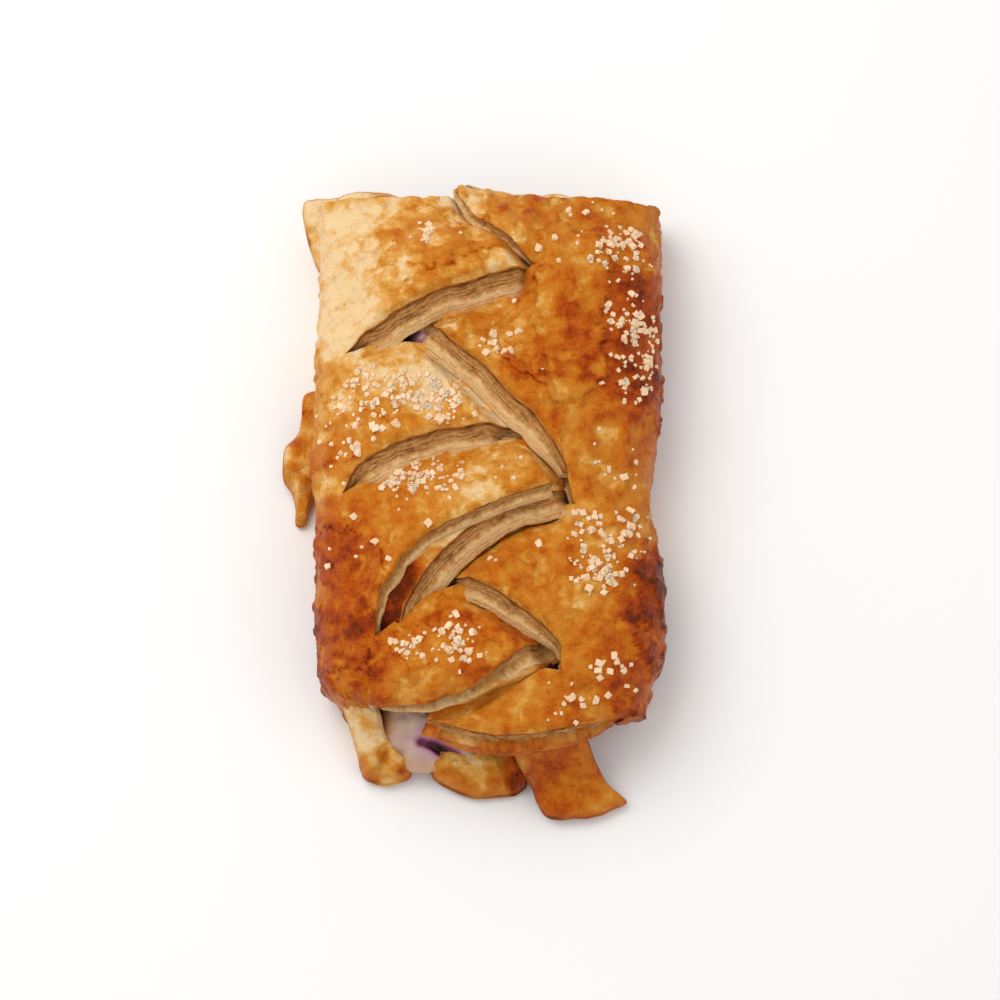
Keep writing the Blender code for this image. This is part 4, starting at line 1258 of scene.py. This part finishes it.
# Sugar: coarse clear crystals, roughly cuboid with worn corners, scattered before baking and stuck in
# the egg wash. They lie thickest in a few patches. Each patch is (middle, radius, crystals).
#
# Sizes are half the length of a crystal. None sticks on a cut edge, on a face whose normal rises by
# less than STEEPEST, low on the walls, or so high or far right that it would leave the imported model's box.
SUGAR_PATCHES = [((26, 47), 7, 60), ((27, 34), 6, 44), ((31, 29), 6, 40), ((29, 22), 7, 40),
                 ((22, -12), 9, 76), ((20, -17), 6, 36), ((-22, 18), 8, 90), ((-9, 16), 6, 80),
                 ((-14, 19), 6, 50), ((-16, 1), 6, 60), ((-9, 2), 5, 30), ((-6, -31), 6, 44),
                 ((-15, -31), 4, 22), ((-28, 8), 8, 30), ((-12, 50), 3, 16), ((-26, -12), 8, 8),
                 ((2, 28), 6, 14), ((14, -42), 6, 12), ((22, 4), 7, 12), ((24, -36), 6, 16),
                 ((20, 50), 8, 20), ((30, -6), 5, 14), ((0, 42), 14, 10), ((0, 4), 26, 30)]
CRYSTAL_SIZES = (0.22, 0.28, 0.34, 0.42, 0.5, 0.62)
CORNER = 0.42
WORN = (0.8, 1.14)
TILT = 0.25
STANDS_PROUD = 0.1
STEEPEST = 0.55
MOST_CUT = 0.1
LOWEST_Z = 8
HIGHEST_Z = 27.9
FURTHEST_X = 36.4
DROPPED_FROM_Z = 60


def crystal_form():
    """Points and faces of a cuboid with cut corners."""
    shape = bmesh.new()
    for sx in (-1, 1):
        for sy in (-1, 1):
            for sz in (-1, 1):
                for axis in range(3):
                    point = [sx, sy, sz]
                    point[axis] *= CORNER
                    shape.verts.new(point)
    bmesh.ops.convex_hull(shape, input=shape.verts)
    shape.verts.index_update()
    form = [tuple(v.co) for v in shape.verts], [tuple(v.index for v in f.verts) for f in shape.faces]
    shape.free()
    return form


trees = [(piece, BVHTree.FromObject(piece, bpy.context.evaluated_depsgraph_get())) for piece in crusts]
form_points, form_faces = crystal_form()
chance = random.Random(23)
crystal_points, crystal_faces = [], []
for (cx, cy), radius, count in SUGAR_PATCHES:
    for _ in range(count):
        angle = chance.uniform(0, 2 * math.pi)
        far = radius * math.sqrt(chance.random()) * chance.uniform(0.5, 1.15)
        above = placed((cx + far * math.cos(angle), cy + far * math.sin(angle), DROPPED_FROM_Z))
        found = None
        for piece, tree in trees:
            spot, normal, face, _ = tree.ray_cast(above, Vector((0, 0, -1)))
            if spot and (found is None or spot.z > found[0].z):
                corner = piece.data.polygons[face].vertices[0]
                found = spot, normal, piece.data.attributes["cut"].data[corner].value
        if not found:
            continue
        spot, normal, cut = found
        if abs(normal.z) < STEEPEST or cut > MOST_CUT or spot.x > FURTHEST_X * MM:
            continue
        if spot.z < LOWEST_Z * MM or spot.z > HIGHEST_Z * MM:
            continue
        if normal.z < 0:
            normal = -normal
        size = chance.choice(CRYSTAL_SIZES) * MM
        scale = Vector((size * chance.uniform(0.85, 1.35), size * chance.uniform(0.75, 1.1),
                        size * chance.uniform(0.6, 0.95)))
        tilted = Euler((chance.gauss(0, TILT), chance.gauss(0, TILT), chance.uniform(0, 3.14)))
        turned = normal.to_track_quat("Z", "Y").to_matrix() @ tilted.to_matrix()
        middle = spot + normal * scale.z * STANDS_PROUD
        start = len(crystal_points)
        for point in form_points:
            worn = Vector(point) * chance.uniform(*WORN)
            crystal_points.append(middle + turned @ Vector(a * b for a, b in zip(worn, scale)))
        crystal_faces += [tuple(i + start for i in face) for face in form_faces]
sugar_mesh = bpy.data.meshes.new("sugar")
sugar_mesh.from_pydata(crystal_points, [], crystal_faces)
sugar_look = bpy.data.materials.new("sugar")
sugar_look.use_nodes = True
crystal = sugar_look.node_tree.nodes["Principled BSDF"]
crystal.inputs["Base Color"].default_value = linear(242, 204, 164)
crystal.inputs["Roughness"].default_value = 0.28
crystal.inputs["Subsurface Weight"].default_value = 0.7
crystal.inputs["Subsurface Radius"].default_value = (1, 1, 1)
crystal.inputs["Subsurface Scale"].default_value = 0.0006
sugar_mesh.materials.append(sugar_look)
sugar = bpy.data.objects.new("sugar", sugar_mesh)
scene.collection.objects.link(sugar)
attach(sugar, "root")
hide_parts("pastry")
